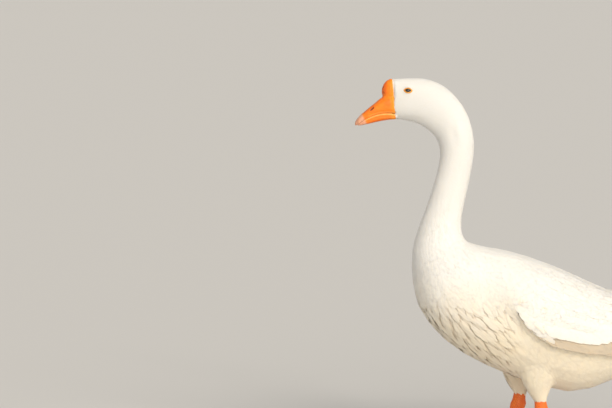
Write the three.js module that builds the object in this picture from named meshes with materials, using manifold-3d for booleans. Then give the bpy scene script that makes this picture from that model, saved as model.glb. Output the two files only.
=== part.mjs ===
// A white domestic goose of the Chinese breed, standing, with its neck drawn up and its wings folded.
// Millimetres, +Z up. The bird faces -X and its left side is towards -Y. The origin is on the floor,
// under the middle of the whole bird's length.
import * as THREE from 'three';
import { LoftGeometry } from 'three/addons/geometries/LoftGeometry.js';
import { mergeVertices } from 'three/addons/utils/BufferGeometryUtils.js';
import Module from 'manifold-3d';

const wasm = await Module();
wasm.setup();

// ---------- driving dimensions ----------
const LENGTH = 635; // bill tip to tail tip
const BILL_TIP_X = -LENGTH / 2;
const TAIL_TIP_X = LENGTH / 2;
const GAP = 0.3; // between neighbouring pieces
const TAIL_GAP = 0.9; // between the wings and the tail's fan
const FINENESS = 0.15; // the smallest step kept in a joined or cut surface
const EYE_RADIUS = 8.6;
const EYE_X = -224.5;
const EYE_Z = 640;
const EYE_DEPTH = 7.5; // from the head's widest half-width in to the eyeball's centre
const WING_PROUD = 12; // how far a folded wing stands out from the flank
const WING_RISE = 1.6; // and from the back
const WING_SLAB = { depth: 200, above: 30 }; // the block that the outline cuts the wing from
const BACK_STRIP = 16; // half the width of the back that the wings leave bare
const TARSUS = 80; // hock to toe joint
const FEATHERS_END_Z = 102; // where the thigh's feathers stop
const ANKLE_CUT_Z = 21; // where the shank meets the foot
const SOLE_Z = 0;
const SOLE_CUT = 0.8; // how much of each toe's round underside the flat sole takes off

// Cross-sections of the body from the bill's root to the tail's root. Each slants with the body:
// a point [x, z] on the back line, one on the throat, breast or belly line, half the width, how far
// up from the under line it is widest, and how round it is: 1 is an ellipse, less is squarer.
const STATIONS = [
  { name: 'face', back: [-252, 660], under: [-246, 591], half: 18.5, widest: 0.42, round: 0.85 },
  { name: 'eyes', back: [-226, 661.5], under: [-223, 587], half: 23.5, widest: 0.42, round: 0.88 },
  { name: 'crown', back: [-198, 661], under: [-203, 580], half: 26.5, widest: 0.45, round: 0.92 },
  { name: 'cheeks', back: [-168, 651], under: [-187, 569], half: 27.5, widest: 0.5, round: 0.95 },
  { name: 'nape', back: [-141, 629], under: [-176, 557], half: 27, widest: 0.5, round: 1 },
  { name: 'neck_top', back: [-119, 594], under: [-170.5, 543], half: 26.5, widest: 0.5, round: 1 },
  { name: 'neck_bend', back: [-109, 548], under: [-168.5, 527], half: 26.5, widest: 0.5, round: 1 },
  { name: 'neck_slim', back: [-113, 503], under: [-174, 497], half: 26, widest: 0.5, round: 1 },
  { name: 'neck_mid', back: [-123, 455], under: [-183, 465], half: 27, widest: 0.5, round: 1 },
  { name: 'neck_low', back: [-130, 419], under: [-193, 434], half: 29.5, widest: 0.5, round: 1 },
  { name: 'neck_root', back: [-130, 391], under: [-206, 399], half: 36, widest: 0.5, round: 1 },
  { name: 'collar', back: [-121, 375], under: [-217, 358], half: 50, widest: 0.5, round: 0.96 },
  { name: 'shoulders', back: [-98, 367.5], under: [-217, 315], half: 68, widest: 0.47, round: 0.92 },
  { name: 'breast', back: [-68, 361], under: [-208, 266], half: 81, widest: 0.48, round: 0.88 },
  { name: 'crop', back: [-30, 352], under: [-180, 222], half: 90, widest: 0.48, round: 0.86 },
  { name: 'keel', back: [12, 337.5], under: [-136, 184], half: 95, widest: 0.5, round: 0.86 },
  { name: 'belly', back: [52, 322], under: [-81, 154.5], half: 97, widest: 0.52, round: 0.86 },
  { name: 'loins', back: [90, 304], under: [-14, 128], half: 96, widest: 0.53, round: 0.86 },
  { name: 'paunch', back: [130, 287], under: [61, 110.5], half: 91, widest: 0.54, round: 0.88 },
  { name: 'rump', back: [170, 272], under: [118, 124], half: 76, widest: 0.54, round: 0.92 },
  { name: 'vent', back: [205, 259], under: [168, 152], half: 55, widest: 0.55, round: 0.95 },
  { name: 'tail_root', back: [236, 250], under: [209, 196], half: 36, widest: 0.5, round: 1 },
  { name: 'tail_core', back: [252, 246], under: [235, 228], half: 18, widest: 0.5, round: 1 },
];

// The bill's cross-sections, upright: x, top and bottom z, half the width.
const CULMEN = [
  { x: -246, top: 634, bottom: 600.5, half: 17 },
  { x: -262, top: 632, bottom: 601.5, half: 16.2 },
  { x: -273, top: 626.5, bottom: 600.5, half: 15 },
  { x: -285, top: 616, bottom: 597.5, half: 13.6 },
  { x: -297, top: 606.5, bottom: 592, half: 12.4 },
  { x: -307, top: 597.5, bottom: 586, half: 11 },
  { x: -313.5, top: 590.5, bottom: 581, half: 8.4 },
  { x: BILL_TIP_X, top: 584.5, bottom: 579, half: 3.4 },
];
const MANDIBLE = [
  { x: -242, top: 598.5, bottom: 590, half: 14.6 },
  { x: -258, top: 600.8, bottom: 589.5, half: 13.6 },
  { x: -272, top: 599.9, bottom: 587.2, half: 12.6 },
  { x: -287, top: 595.9, bottom: 583.8, half: 11.2 },
  { x: -299, top: 590.1, bottom: 580.9, half: 9.6 },
  { x: -307.5, top: 585, bottom: 579.2, half: 6.6 },
  { x: -312.5, top: 581.6, bottom: 578.6, half: 3.8 },
];
const MOUTH_ROUND = 0.4; // the bill's halves are nearly flat where they close
const KNOB = { x: -254, z: 640, long: 17, tall: 21, wide: 13.5, lean: THREE.MathUtils.degToRad(12) };

// The folded wing seen from the side: its lower edge from the bend of the wing to the tip, [x, z].
const WING_EDGE = [
  [-62, 300],
  [-40, 262],
  [-15, 233],
  [26, 207],
  [82, 192.5],
  [140, 188],
  [195, 201],
  [245, 229],
  [296, 262],
];
const WING_FRONT = [
  [-78, 336],
  [-77, 352],
]; // where the bend runs up into the shoulder
// The blade of long feathers behind the flank: x, centre y and z, half thickness, half height, lean inwards.
const WING_BLADE = [
  { x: 70, y: 58, z: 236, thick: 36, tall: 50, lean: 26 },
  { x: 120, y: 52, z: 238, thick: 36, tall: 50, lean: 28 },
  { x: 170, y: 39, z: 243, thick: 29, tall: 43, lean: 33 },
  { x: 215, y: 27, z: 252, thick: 19, tall: 32, lean: 40 },
  { x: 255, y: 18, z: 260, thick: 10, tall: 19, lean: 48 },
  { x: 284, y: 13, z: 265, thick: 4.5, tall: 9, lean: 55 },
  { x: 295, y: 11, z: 267, thick: 2, tall: 4, lean: 60 },
];
// The fan of tail feathers: x, centre z, half height, half the width.
const TAIL_FAN = [
  { x: 196, z: 230, tall: 20, half: 34 },
  { x: 235, z: 238, tall: 11, half: 42 },
  { x: 270, z: 247, tall: 6.5, half: 52 },
  { x: 298, z: 254, tall: 4, half: 57 },
  { x: 311, z: 257.5, tall: 2.4, half: 50 },
  { x: TAIL_TIP_X, z: 259.5, tall: 1.2, half: 36 },
];

// Each leg: the hock, how far the shank slopes forward (degrees), how far the toes turn out, and the
// sections of the feathered thigh from the flank down: [x, y, z, half length, half width].
const LEGS = {
  left: {
    side: -1,
    hock: [9, 48, 80],
    slope: -20,
    toes_out: 6,
    thigh: [
      [28, 60, 196, 44, 22],
      [12, 57, 165, 41, 25],
      [3, 53, 140, 31, 22],
      [2, 50.5, 120, 21, 16.5],
      [6, 49, FEATHERS_END_Z, 11.8, 11.5],
    ],
  },
  right: {
    side: 1,
    hock: [-26, 48, 80],
    slope: 18,
    toes_out: 6,
    thigh: [
      [0, 60, 196, 44, 22],
      [-16, 57, 165, 41, 25],
      [-27, 53, 140, 30, 22],
      [-28, 50.5, 120, 20, 16.5],
      [-23.5, 49, FEATHERS_END_Z, 13.2, 12],
    ],
  },
};
// The bare leg below the hock: how far along the tarsus (0 hock, 1 toe joint), half length, half width.
const SHANK = [
  [0.03, 14.5, 10.6],
  [0.22, 9.4, 7.6],
  [0.5, 8, 6.4],
  [0.8, 8.4, 7],
  [0.98, 9.4, 9.2],
  [1.06, 6, 6.5],
];
const DRUMSTICK_END = [10.3, 9.6]; // half length and half width just under the feathers
const ABOVE_HOCK = [11.5, 10]; // and on the way down to the hock
// The toes: name, angle from straight ahead towards the outside, length to the claw, half width at the root.
const TOES = [
  { name: 'inner', turn: -28, length: 58, half: 5 },
  { name: 'middle', turn: 0, length: 76, half: 5.4 },
  { name: 'outer', turn: 25, length: 69, half: 5 },
  { name: 'hind', turn: 188, length: 17, half: 3.6 },
];
const TOE_TIP_HALF = 3.1;
const TOE_HEIGHT = { root: 11, tip: 5.6 };
const KNUCKLE = 0.1; // how much a toe swells at each joint, as a share
const JOINTED_LENGTH = 30; // toes longer than this have three joints, the others one
const CLAW_LENGTH = 8.5;
const CLAW_HALF = 0.78 * TOE_TIP_HALF;
const CLAW_LIFT = { root: 1.15, tip: 0.25 }; // from the floor up to the claw's underside
const WEB_Z = [0.7, 2.9]; // the web's under and upper side
const WEB_DIP = 0.84; // how far out along the toes the web's edge hangs between two claws

const COLOURS = {
  plumage: { color: 0xf1ede4, roughness: 0.85 },
  bill: { color: 0xf07a1e, roughness: 0.5 },
  leg: { color: 0xe9631c, roughness: 0.6 },
  claw: { color: 0xd9c3a2, roughness: 0.5 },
  eye: { color: 0x1b2230, roughness: 0.1 },
};

// ---------- solids ----------
const vector = (x, y, z) => new THREE.Vector3(x, y, z);
const SIDEWAYS = vector(0, 1, 0);
const BACKWARDS = vector(1, 0, 0);
const UP = vector(0, 0, 1);
const DOWN = vector(0, 0, -1);

/** A closed geometry as a manifold-3d solid. */
function solid(geometry) {
  const bare = new THREE.BufferGeometry();
  bare.setAttribute('position', geometry.attributes.position);
  bare.setIndex(geometry.index);
  const merged = mergeVertices(bare, 1e-3);
  const triVerts = new Uint32Array(merged.index.array);
  return new wasm.Manifold(
    new wasm.Mesh({ numProp: 3, vertProperties: merged.attributes.position.array, triVerts }),
  );
}

/** A manifold-3d solid as a three.js geometry, without the slivers that joins and cuts leave. */
function geometryOf(shape) {
  const mesh = shape.simplify(FINENESS).getMesh();
  const made = new THREE.BufferGeometry();
  made.setAttribute('position', new THREE.BufferAttribute(mesh.vertProperties, 3));
  made.setIndex(new THREE.BufferAttribute(mesh.triVerts, 1));
  return made;
}

/** The half of a solid on the far side of a plane through `point`, in the direction of `normal`. */
function beyond(shape, point, normal) {
  const n = normal.clone().normalize();
  return shape.trimByPlane(n.toArray(), n.dot(point));
}

/** The biggest body of a solid: cuts can leave crumbs beside it. */
function largest(shape) {
  return shape.decompose().sort((a, b) => b.volume() - a.volume())[0];
}

/** A power of a sine or cosine that keeps its sign: it squares off an oval. */
const rounded = (value, power) => Math.sign(value) * Math.abs(value) ** power;

/**
 * An oval ring about `at`, square to `way`. `side` is the direction of its `wide` half-size. `round` is 1
 * for an ellipse and less for a squarer shape, and `roundBelow` is that of its lower half.
 */
function oval(at, way, side, wide, tall, sides, round = 1, roundBelow = round) {
  const up = way.clone().cross(side).normalize();
  const across = up.clone().cross(way).normalize();
  return Array.from({ length: sides }, (_, i) => {
    const angle = ((i + 0.5) / sides) * 2 * Math.PI;
    const power = Math.sin(angle) > 0 ? round : roundBelow;
    return at
      .clone()
      .addScaledVector(across, wide * rounded(Math.cos(angle), power))
      .addScaledVector(up, tall * rounded(Math.sin(angle), power));
  });
}

const loft = (rings) => new LoftGeometry(rings, { capStart: true, capEnd: true });

/** A smooth run through rows of numbers: returns a function of the row index, whole or not. */
function smoothRun(rows) {
  const parts = [];
  for (let i = 0; i < rows[0].length; i += 3) {
    const points = rows.map((row) => vector(row[i], row[i + 1] ?? 0, row[i + 2] ?? 0));
    parts.push(new THREE.CatmullRomCurve3(points, false, 'centripetal'));
  }
  return (index) =>
    parts.flatMap((curve) => curve.getPoint(index / (rows.length - 1)).toArray());
}

/** Evenly spaced numbers from `from` to `to`, both included. */
const steps = (from, to, count) =>
  Array.from({ length: count + 1 }, (_, i) => from + ((to - from) * i) / count);

// ---------- body ----------
const stationIndex = (name) => STATIONS.findIndex((station) => station.name === name);
const backLine = smoothRun(STATIONS.map((s) => s.back));
const underLine = smoothRun(STATIONS.map((s) => s.under));
const girth = smoothRun(STATIONS.map((s) => [s.half, s.widest, s.round]));

/** The body's cross-section at a station index, pushed out by `out` all round and `wider` sideways. */
function bodyRing(index, sides, out = 0, wider = 0) {
  const [backX, backZ] = backLine(index);
  const [underX, underZ] = underLine(index);
  const [half, widest, round] = girth(index);
  const under = vector(underX, 0, underZ);
  const up = vector(backX, 0, backZ).sub(under);
  const height = up.length();
  up.normalize();
  const middle = under.addScaledVector(up, height * widest);
  return Array.from({ length: sides }, (_, i) => {
    const angle = (i / sides) * 2 * Math.PI;
    const rise = rounded(Math.sin(angle), round);
    const reach = rise > 0 ? height * (1 - widest) : height * widest;
    return middle
      .clone()
      .addScaledVector(up, rise * (reach + out))
      .addScaledVector(SIDEWAYS, rounded(Math.cos(angle), round) * (half + out + wider));
  });
}

/** A length of the body between two stations, leaving half a gap at each cut end. */
function bodyPart(fromName, toName, count, sides) {
  const from = stationIndex(fromName);
  const to = stationIndex(toName);
  const share = (index, name) => {
    const step = Math.sign(stationIndex(name) - index) * 0.01;
    const [ax, az] = backLine(index);
    const [bx, bz] = backLine(index + step);
    const [cx, cz] = underLine(index);
    const [dx, dz] = underLine(index + step);
    const nearest = Math.min(Math.hypot(bx - ax, bz - az), Math.hypot(dx - cx, dz - cz));
    return (0.5 * GAP * step) / nearest;
  };
  const start = from === 0 ? from : from + share(from, toName);
  return loft(steps(start, to + share(to, fromName), count).map((index) => bodyRing(index, sides)));
}

const BODY_SIDES = 24;
const TRUNK_STEPS = 13;
const TAIL_STEPS = 4;

/**
 * The trunk and the rump behind it as one solid, pushed out by `out` all round, and sideways by
 * nothing at the shoulders, growing to `wider` over the keel and behind it.
 */
function bodySolid(out, wider = 0) {
  const [collar, vent, core] = ['collar', 'vent', 'tail_core'].map(stationIndex);
  const [shoulders, keel] = ['shoulders', 'keel'].map(stationIndex);
  const along = [...steps(collar, vent, TRUNK_STEPS), ...steps(vent, core, TAIL_STEPS).slice(1)];
  const rings = along.map((index) => {
    const swell = THREE.MathUtils.smoothstep(index, shoulders, keel);
    return bodyRing(index, BODY_SIDES, out, wider * swell);
  });
  return solid(loft(rings));
}

// ---------- head ----------
const eyeRow = girth(stationIndex('eyes'));
const EYE = vector(EYE_X, eyeRow[0] - EYE_DEPTH, EYE_Z);

function eyeball(radius, side) {
  return new THREE.SphereGeometry(radius, 14, 9)
    .rotateX(Math.PI / 2)
    .translate(EYE.x, EYE.y * side, EYE.z);
}

function headSolid() {
  const whole = solid(bodyPart('face', 'nape', 10, BODY_SIDES));
  return [-1, 1].reduce((shape, side) => shape.subtract(solid(eyeball(EYE_RADIUS + GAP, side))), whole);
}

// ---------- bill ----------
/** The part of a solid that is clear of a station's plane, behind it, or before it if `ahead`. */
function clearOf(shape, name, gap, ahead) {
  const { back, under } = STATIONS[stationIndex(name)];
  const way = vector(back[1] - under[1], 0, under[0] - back[0]).normalize();
  if (ahead) way.negate();
  return beyond(shape, vector(back[0], 0, back[1]).addScaledVector(way, gap), way);
}

/**
 * A half of the bill, lofted back from its tip into the face and cut off just short of it. The rounds say
 * how square it is above and below its widest line.
 */
function billHalf(rows, count, round, roundBelow) {
  const run = smoothRun(rows.map((r) => [r.x, (r.top + r.bottom) / 2, (r.top - r.bottom) / 2, r.half]));
  const rings = steps(rows.length - 1, 0, count).map((index) => {
    const [x, z, tall, half] = run(index);
    return oval(vector(x, 0, z), BACKWARDS, SIDEWAYS, half, tall, 20, round, roundBelow);
  });
  return clearOf(solid(loft(rings)), 'face', GAP, true);
}

/** The knob on the bill's root, before its back is cut off, pushed out by `out` all round. */
function knobBall(out) {
  const ball = new THREE.SphereGeometry(1, 16, 10);
  ball.scale(KNOB.long + out, KNOB.wide + out, KNOB.tall + out);
  return solid(ball.rotateY(KNOB.lean).translate(KNOB.x, 0, KNOB.z));
}

// ---------- wings ----------
/** The left wing: a shell over the flank inside the wing's outline, and the blade of long feathers. */
function wingSolid() {
  const outline = new THREE.Shape();
  outline.moveTo(...WING_FRONT[1]);
  outline.lineTo(...WING_FRONT[0]);
  outline.splineThru(WING_EDGE.map(([x, z]) => new THREE.Vector2(x, z)));
  outline.lineTo(WING_EDGE.at(-1)[0], WING_FRONT[1][1] + WING_SLAB.above);
  outline.lineTo(WING_FRONT[1][0], WING_FRONT[1][1] + WING_SLAB.above);
  const depth = WING_SLAB.depth;
  const slab = new THREE.ExtrudeGeometry(outline, { depth, bevelEnabled: false, curveSegments: 12 })
    .rotateX(Math.PI / 2)
    .translate(0, -BACK_STRIP, 0);
  const proud = bodySolid(WING_RISE, WING_PROUD);
  const run = smoothRun(WING_BLADE.map((r) => [r.x, -r.y, r.z, r.thick, r.tall, r.lean]));
  const rings = steps(0, WING_BLADE.length - 1, 12).map((index) => {
    const [x, y, z, thick, tall, lean] = run(index);
    const tilt = THREE.MathUtils.degToRad(lean);
    const across = vector(0, Math.cos(tilt), -Math.sin(tilt));
    return oval(vector(x, y, z), BACKWARDS, across, thick, tall, 16, 0.8);
  });
  const blade = beyond(solid(loft(rings)), vector(0, -GAP, 0), vector(0, -1, 0));
  return proud.intersect(solid(slab)).add(blade.intersect(solid(slab)));
}

// ---------- tail ----------
/** The fan of tail feathers, pushed out by `out` above, below and at the sides. */
function fanSolid(out) {
  const run = smoothRun(TAIL_FAN.map((r) => [r.x, r.z, r.tall + out, r.half + out]));
  const rings = steps(0, TAIL_FAN.length - 1, 9).map((index) => {
    const [x, z, tall, half] = run(index);
    return oval(vector(x, 0, z), BACKWARDS, SIDEWAYS, half, tall, 16, 0.75);
  });
  return solid(loft(rings));
}

function tailSolid() {
  const core = solid(bodyPart('vent', 'tail_core', TAIL_STEPS, BODY_SIDES));
  return core.add(clearOf(fanSolid(0), 'vent', GAP / 2, false));
}

// ---------- legs ----------
const LEG_SIDES = 12;

function thighSolid(leg) {
  const run = smoothRun(leg.thigh);
  const rings = steps(0, leg.thigh.length - 1, 8).map((index) => {
    const [x, y, z, long, wide] = run(index);
    return oval(vector(x, y * leg.side, z), DOWN, SIDEWAYS, wide, long, LEG_SIDES);
  });
  return solid(loft(rings));
}

/** Where the toes meet, on the floor below the shank's lower end. */
function toeJoint(leg) {
  const slope = THREE.MathUtils.degToRad(leg.slope);
  const [x, y, z] = leg.hock;
  return vector(x - TARSUS * Math.sin(slope), y * leg.side, z - TARSUS * Math.cos(slope));
}

/** The bare leg: the end of the drumstick, the hock, the shank and the ankle, in one. */
function bareLeg(leg) {
  const hock = vector(leg.hock[0], leg.hock[1] * leg.side, leg.hock[2]);
  const joint = toeJoint(leg);
  const top = vector(leg.thigh.at(-1)[0], leg.thigh.at(-1)[1] * leg.side, FEATHERS_END_Z - GAP);
  const rows = [
    [...top.toArray(), ...DRUMSTICK_END],
    [...hock.clone().lerp(top, 0.4).toArray(), ...ABOVE_HOCK],
    ...SHANK.map(([share, ...half]) => [...hock.clone().lerp(joint, share).toArray(), ...half]),
  ];
  const run = smoothRun(rows);
  const rings = steps(0, rows.length - 1, 12).map((index) => {
    const [x, y, z, long, wide] = run(index);
    return oval(vector(x, y, z), DOWN, SIDEWAYS, wide, long, LEG_SIDES);
  });
  return solid(loft(rings));
}

const toeWay = (toe, side) => {
  const turn = THREE.MathUtils.degToRad(toe.turn);
  return vector(-Math.cos(turn), side * Math.sin(turn), 0);
};

/** One toe, from the joint at the origin to where its claw grows, with a low arch over each joint. */
function toeSolid(toe, side) {
  const way = toeWay(toe, side);
  const across = way.clone().cross(UP);
  const rings = steps(0, 1, 6).map((share) => {
    const joints = toe.length > JOINTED_LENGTH ? 3 : 1;
    const knuckle = 1 + KNUCKLE * Math.cos(share * 2 * Math.PI * joints);
    const half = THREE.MathUtils.lerp(toe.half, TOE_TIP_HALF, share) * knuckle;
    const height = THREE.MathUtils.lerp(TOE_HEIGHT.root, TOE_HEIGHT.tip, share ** 0.8) * knuckle;
    const at = way.clone().multiplyScalar(toe.length * share).setZ(height / 2 - SOLE_CUT);
    return oval(at, way, across, half, height / 2, 8);
  });
  return solid(loft(rings));
}

function clawGeometry(toe, side) {
  const way = toeWay(toe, side);
  const across = way.clone().cross(UP);
  const rings = steps(0, 1, 3).map((share) => {
    const half = CLAW_HALF * Math.sqrt(1.02 - share);
    const at = way.clone().multiplyScalar(toe.length + GAP + CLAW_LENGTH * share);
    const lift = THREE.MathUtils.lerp(CLAW_LIFT.root, CLAW_LIFT.tip, share);
    return oval(at.setZ(SOLE_Z + lift + half), way, across, half, half, 8);
  });
  return loft(rings);
}

/** The skin stretched between the three front toes. */
function webSolid(side) {
  const tips = TOES.slice(0, 3).map((toe) => toeWay(toe, side).multiplyScalar(toe.length * 0.97));
  const outline = new THREE.Shape();
  outline.moveTo(6, 0);
  outline.lineTo(tips[0].x, tips[0].y);
  for (const [near, far] of [[tips[0], tips[1]], [tips[1], tips[2]]]) {
    const dip = near.clone().add(far).multiplyScalar(0.5 * WEB_DIP);
    outline.quadraticCurveTo(dip.x, dip.y, far.x, far.y);
  }
  outline.closePath();
  const depth = WEB_Z[1] - WEB_Z[0];
  const sheet = new THREE.ExtrudeGeometry(outline, { depth, bevelEnabled: false, curveSegments: 6 });
  return solid(sheet.translate(0, 0, WEB_Z[0]));
}

/** The foot about its toe joint, turned to where it points and cut flat underneath. */
function footPieces(leg) {
  const turn = new THREE.Matrix4()
    .makeRotationZ(THREE.MathUtils.degToRad(-leg.toes_out * leg.side))
    .setPosition(toeJoint(leg).setZ(0));
  const placed = (geometry) => geometry.applyMatrix4(turn);
  const toes = TOES.map((toe) => geometryOf(toeSolid(toe, leg.side))).map(placed).map(solid);
  const web = solid(placed(geometryOf(webSolid(leg.side))));
  const foot = toes.reduce((all, toe) => all.add(toe), web);
  const claws = TOES.map((toe) => ({ name: toe.name, geometry: placed(clawGeometry(toe, leg.side)) }));
  return { foot, claws };
}

// ---------- the bird ----------
const goose = new THREE.Group();
goose.name = 'goose';

function addNode(name, geometry, finish) {
  geometry.computeVertexNormals();
  const mesh = new THREE.Mesh(geometry, new THREE.MeshStandardMaterial({ metalness: 0, ...COLOURS[finish] }));
  mesh.name = name;
  goose.add(mesh);
  return mesh;
}

addNode('head', geometryOf(headSolid()), 'plumage');
addNode('knob', geometryOf(clearOf(knobBall(0), 'face', GAP, true)), 'bill');
addNode('bill_upper', geometryOf(billHalf(CULMEN, 10, 0.85, MOUTH_ROUND).subtract(knobBall(GAP))), 'bill');
addNode('bill_lower', geometryOf(billHalf(MANDIBLE, 7, MOUTH_ROUND, 0.8)), 'bill');

addNode('neck_upper', bodyPart('nape', 'neck_slim', 6, 20), 'plumage');
addNode('neck_middle', bodyPart('neck_slim', 'neck_low', 4, 20), 'plumage');
addNode('neck_lower', bodyPart('neck_low', 'collar', 5, BODY_SIDES), 'plumage');
addNode('trunk', bodyPart('collar', 'vent', TRUNK_STEPS, BODY_SIDES), 'plumage');
addNode('tail', geometryOf(tailSolid()), 'plumage');

const bodyClear = bodySolid(GAP);
const wing = largest(wingSolid().subtract(bodyClear).subtract(fanSolid(TAIL_GAP)));
addNode('wing_left', geometryOf(wing), 'plumage');
addNode('wing_right', geometryOf(wing.mirror([0, 1, 0])), 'plumage');
addNode('eye_left', eyeball(EYE_RADIUS, -1), 'eye');
addNode('eye_right', eyeball(EYE_RADIUS, 1), 'eye');

for (const [name, leg] of Object.entries(LEGS)) {
  const bare = bareLeg(leg);
  const { foot, claws } = footPieces(leg);
  const ankle = beyond(bare, vector(0, 0, ANKLE_CUT_Z), DOWN);
  const sole = beyond(ankle.add(foot), vector(0, 0, SOLE_Z), UP);
  addNode(`thigh_${name}`, geometryOf(thighSolid(leg).subtract(bodyClear)), 'plumage');
  addNode(`shank_${name}`, geometryOf(beyond(bare, vector(0, 0, ANKLE_CUT_Z + GAP), UP)), 'leg');
  addNode(`foot_${name}`, geometryOf(sole), 'leg');
  for (const claw of claws) addNode(`claw_${name}_${claw.name}`, claw.geometry, 'claw');
}

export default goose;
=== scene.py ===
"""A white domestic goose of the Chinese breed, standing in mid-step: skin, plumage, bill, eyes and legs."""

import heapq
import math

import bmesh
import bpy
import numpy as np
from mathutils import Matrix, Vector
from mathutils.bvhtree import BVHTree
from mathutils.kdtree import KDTree


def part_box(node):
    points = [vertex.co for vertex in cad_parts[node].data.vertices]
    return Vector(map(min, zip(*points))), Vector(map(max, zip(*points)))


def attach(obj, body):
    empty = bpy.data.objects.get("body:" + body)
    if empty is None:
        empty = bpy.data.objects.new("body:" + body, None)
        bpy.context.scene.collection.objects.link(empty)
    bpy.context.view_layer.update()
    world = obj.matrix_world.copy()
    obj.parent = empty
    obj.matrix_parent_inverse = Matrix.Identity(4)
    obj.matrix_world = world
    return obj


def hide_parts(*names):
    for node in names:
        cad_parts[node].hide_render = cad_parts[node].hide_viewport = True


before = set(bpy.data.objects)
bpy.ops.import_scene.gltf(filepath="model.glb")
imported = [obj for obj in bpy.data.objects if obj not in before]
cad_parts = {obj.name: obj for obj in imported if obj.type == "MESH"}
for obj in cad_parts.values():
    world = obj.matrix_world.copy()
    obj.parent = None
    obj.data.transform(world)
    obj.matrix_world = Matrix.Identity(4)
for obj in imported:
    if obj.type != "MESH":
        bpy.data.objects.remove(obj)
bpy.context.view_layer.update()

MM = 0.001
DEGREE = math.radians(1)
SIDES = {"left": -1, "right": 1}  # the side's sign along Y
FLESH = ["head", "neck_upper", "neck_middle", "neck_lower", "trunk", "tail"]
FLESH += [f"{part}_{side}" for part in ("wing", "thigh") for side in SIDES]
BILL = ["bill_upper", "knob", "bill_lower"]
EYES = [f"eye_{side}" for side in SIDES]
TOES = ("inner", "middle", "outer", "hind")

# The size of the even faces that each shape is made of, before it is refined.
SKIN_VOXEL = 2.8 * MM
WING_VOXEL = 1.6 * MM
LEG_VOXEL = 0.9 * MM
BILL_VOXEL = 0.7 * MM
SEAM_SWELL = 0.5 * MM  # closes the thin cuts between neighbouring nodes before they are made one
SKIN_END_X = 262 * MM  # the tail's feathers go on behind the skin
THIGH_COAT = 3 * MM  # the plumage's depth on the thighs
THIGH_HEIGHTS = (150 * MM, 112 * MM)  # between these it gets that thin
WING_COAT = 4.2 * MM  # and on the wings
MOST_COAT = 0.33  # the most of a thin part's thickness that its plumage takes
# Where the feathers begin behind the bill, seen from the side: [z, x] in millimetres.
FEATHER_LINE = np.array([[585, -243.5], [592, -244.5], [600, -247.6], [608, -248.4], [662, -248.4]]) * MM
UNDER_BILL = 1.4 * MM  # how deep the skin runs on inside the bill
FACE_REACH = 4 * MM  # and how far from the face it ends there
BILL_NEAR = 12 * MM  # behind the head's foremost point nothing further back than this is the bill's


# ---------- small tools ----------
def smooth_step(x, low, high):
    """0 below low, 1 above high, and smooth between; low may be the larger one."""
    t = np.clip((np.asarray(x, float) - low) / (high - low), 0, 1)
    return t * t * (3 - 2 * t)


def unit(vectors):
    """The vectors brought to a length of 1."""
    return vectors / np.maximum(np.linalg.norm(vectors, axis=-1, keepdims=True), 1e-12)


def dot(a, b):
    """The dot product of each pair of vectors, kept as a column."""
    return (a * b).sum(-1, keepdims=True)


def new_object(name, data):
    """Puts a mesh, a light or a camera into the scene."""
    obj = bpy.data.objects.new(name, data)
    bpy.context.scene.collection.objects.link(obj)
    return obj


def object_from(name, bm):
    """The bmesh as a smooth-shaded object."""
    mesh = bpy.data.meshes.new(name)
    bm.to_mesh(mesh)
    bm.free()
    mesh.shade_smooth()
    return new_object(name, mesh)


def applied(obj):
    """Bakes the object's modifiers into its mesh."""
    evaluated = obj.evaluated_get(bpy.context.evaluated_depsgraph_get())
    mesh = bpy.data.meshes.new_from_object(evaluated)
    obj.modifiers.clear()
    old, obj.data = obj.data, mesh
    bpy.data.meshes.remove(old)
    mesh.shade_smooth()
    return obj


def coordinates(mesh):
    """The places of the mesh's vertices."""
    co = np.empty(len(mesh.vertices) * 3, np.float32)
    mesh.vertices.foreach_get("co", co)
    return co.reshape(-1, 3).astype(float)


def set_coordinates(mesh, co):
    """Moves the mesh's vertices to new places."""
    mesh.vertices.foreach_set("co", np.ascontiguousarray(co, np.float32).ravel())
    mesh.update()


def normals(mesh):
    """The mesh's normals at its vertices."""
    out = np.empty(len(mesh.vertices) * 3, np.float32)
    mesh.vertices.foreach_get("normal", out)
    return out.reshape(-1, 3).astype(float)


def one_body(bm):
    """Deletes every loose piece of the bmesh but the biggest."""
    bm.verts.ensure_lookup_table()
    seen, pieces = set(), []
    for start in bm.verts:
        if start in seen:
            continue
        seen.add(start)
        piece = [start]
        for vert in piece:
            for edge in vert.link_edges:
                other = edge.other_vert(vert)
                if other not in seen:
                    seen.add(other)
                    piece.append(other)
        pieces.append(piece)
    pieces.sort(key=len)
    for piece in pieces[:-1]:
        bmesh.ops.delete(bm, geom=piece, context="VERTS")


def height_on(line, x):
    """The second value of a line of points where the first is x."""
    return np.interp(x, line[:, 0], line[:, 1])


def hump(x, middle, wide):
    """1 at the middle, falling off to 0 over about the width on either side."""
    return np.exp(-(((x - middle) / wide) ** 2))


def cells(co, spacing, seed):
    """Scales on a surface: how far each point is inside its cell, 0 on the seams between cells, and each
    cell's own random number."""
    random = np.random.default_rng(seed)
    order = random.permutation(len(co))
    tree = KDTree(len(co))
    for i, p in enumerate(co.tolist()):
        tree.insert(p, i)
    tree.balance()
    free = np.ones(len(co), bool)
    seeds = []
    for i in order.tolist():
        if free[i]:
            seeds.append(i)
            for _, j, _ in tree.find_range(co[i], spacing[i]):
                free[j] = False
    middle = KDTree(len(seeds))
    for k, i in enumerate(seeds):
        middle.insert(co[i], k)
    middle.balance()
    found = [middle.find_n(p, 2) for p in co.tolist()]
    inside = np.array([(two[1][2] - two[0][2]) / 2 for two in found])
    number = random.random(len(seeds))[[two[0][1] for two in found]]
    return inside, number


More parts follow.
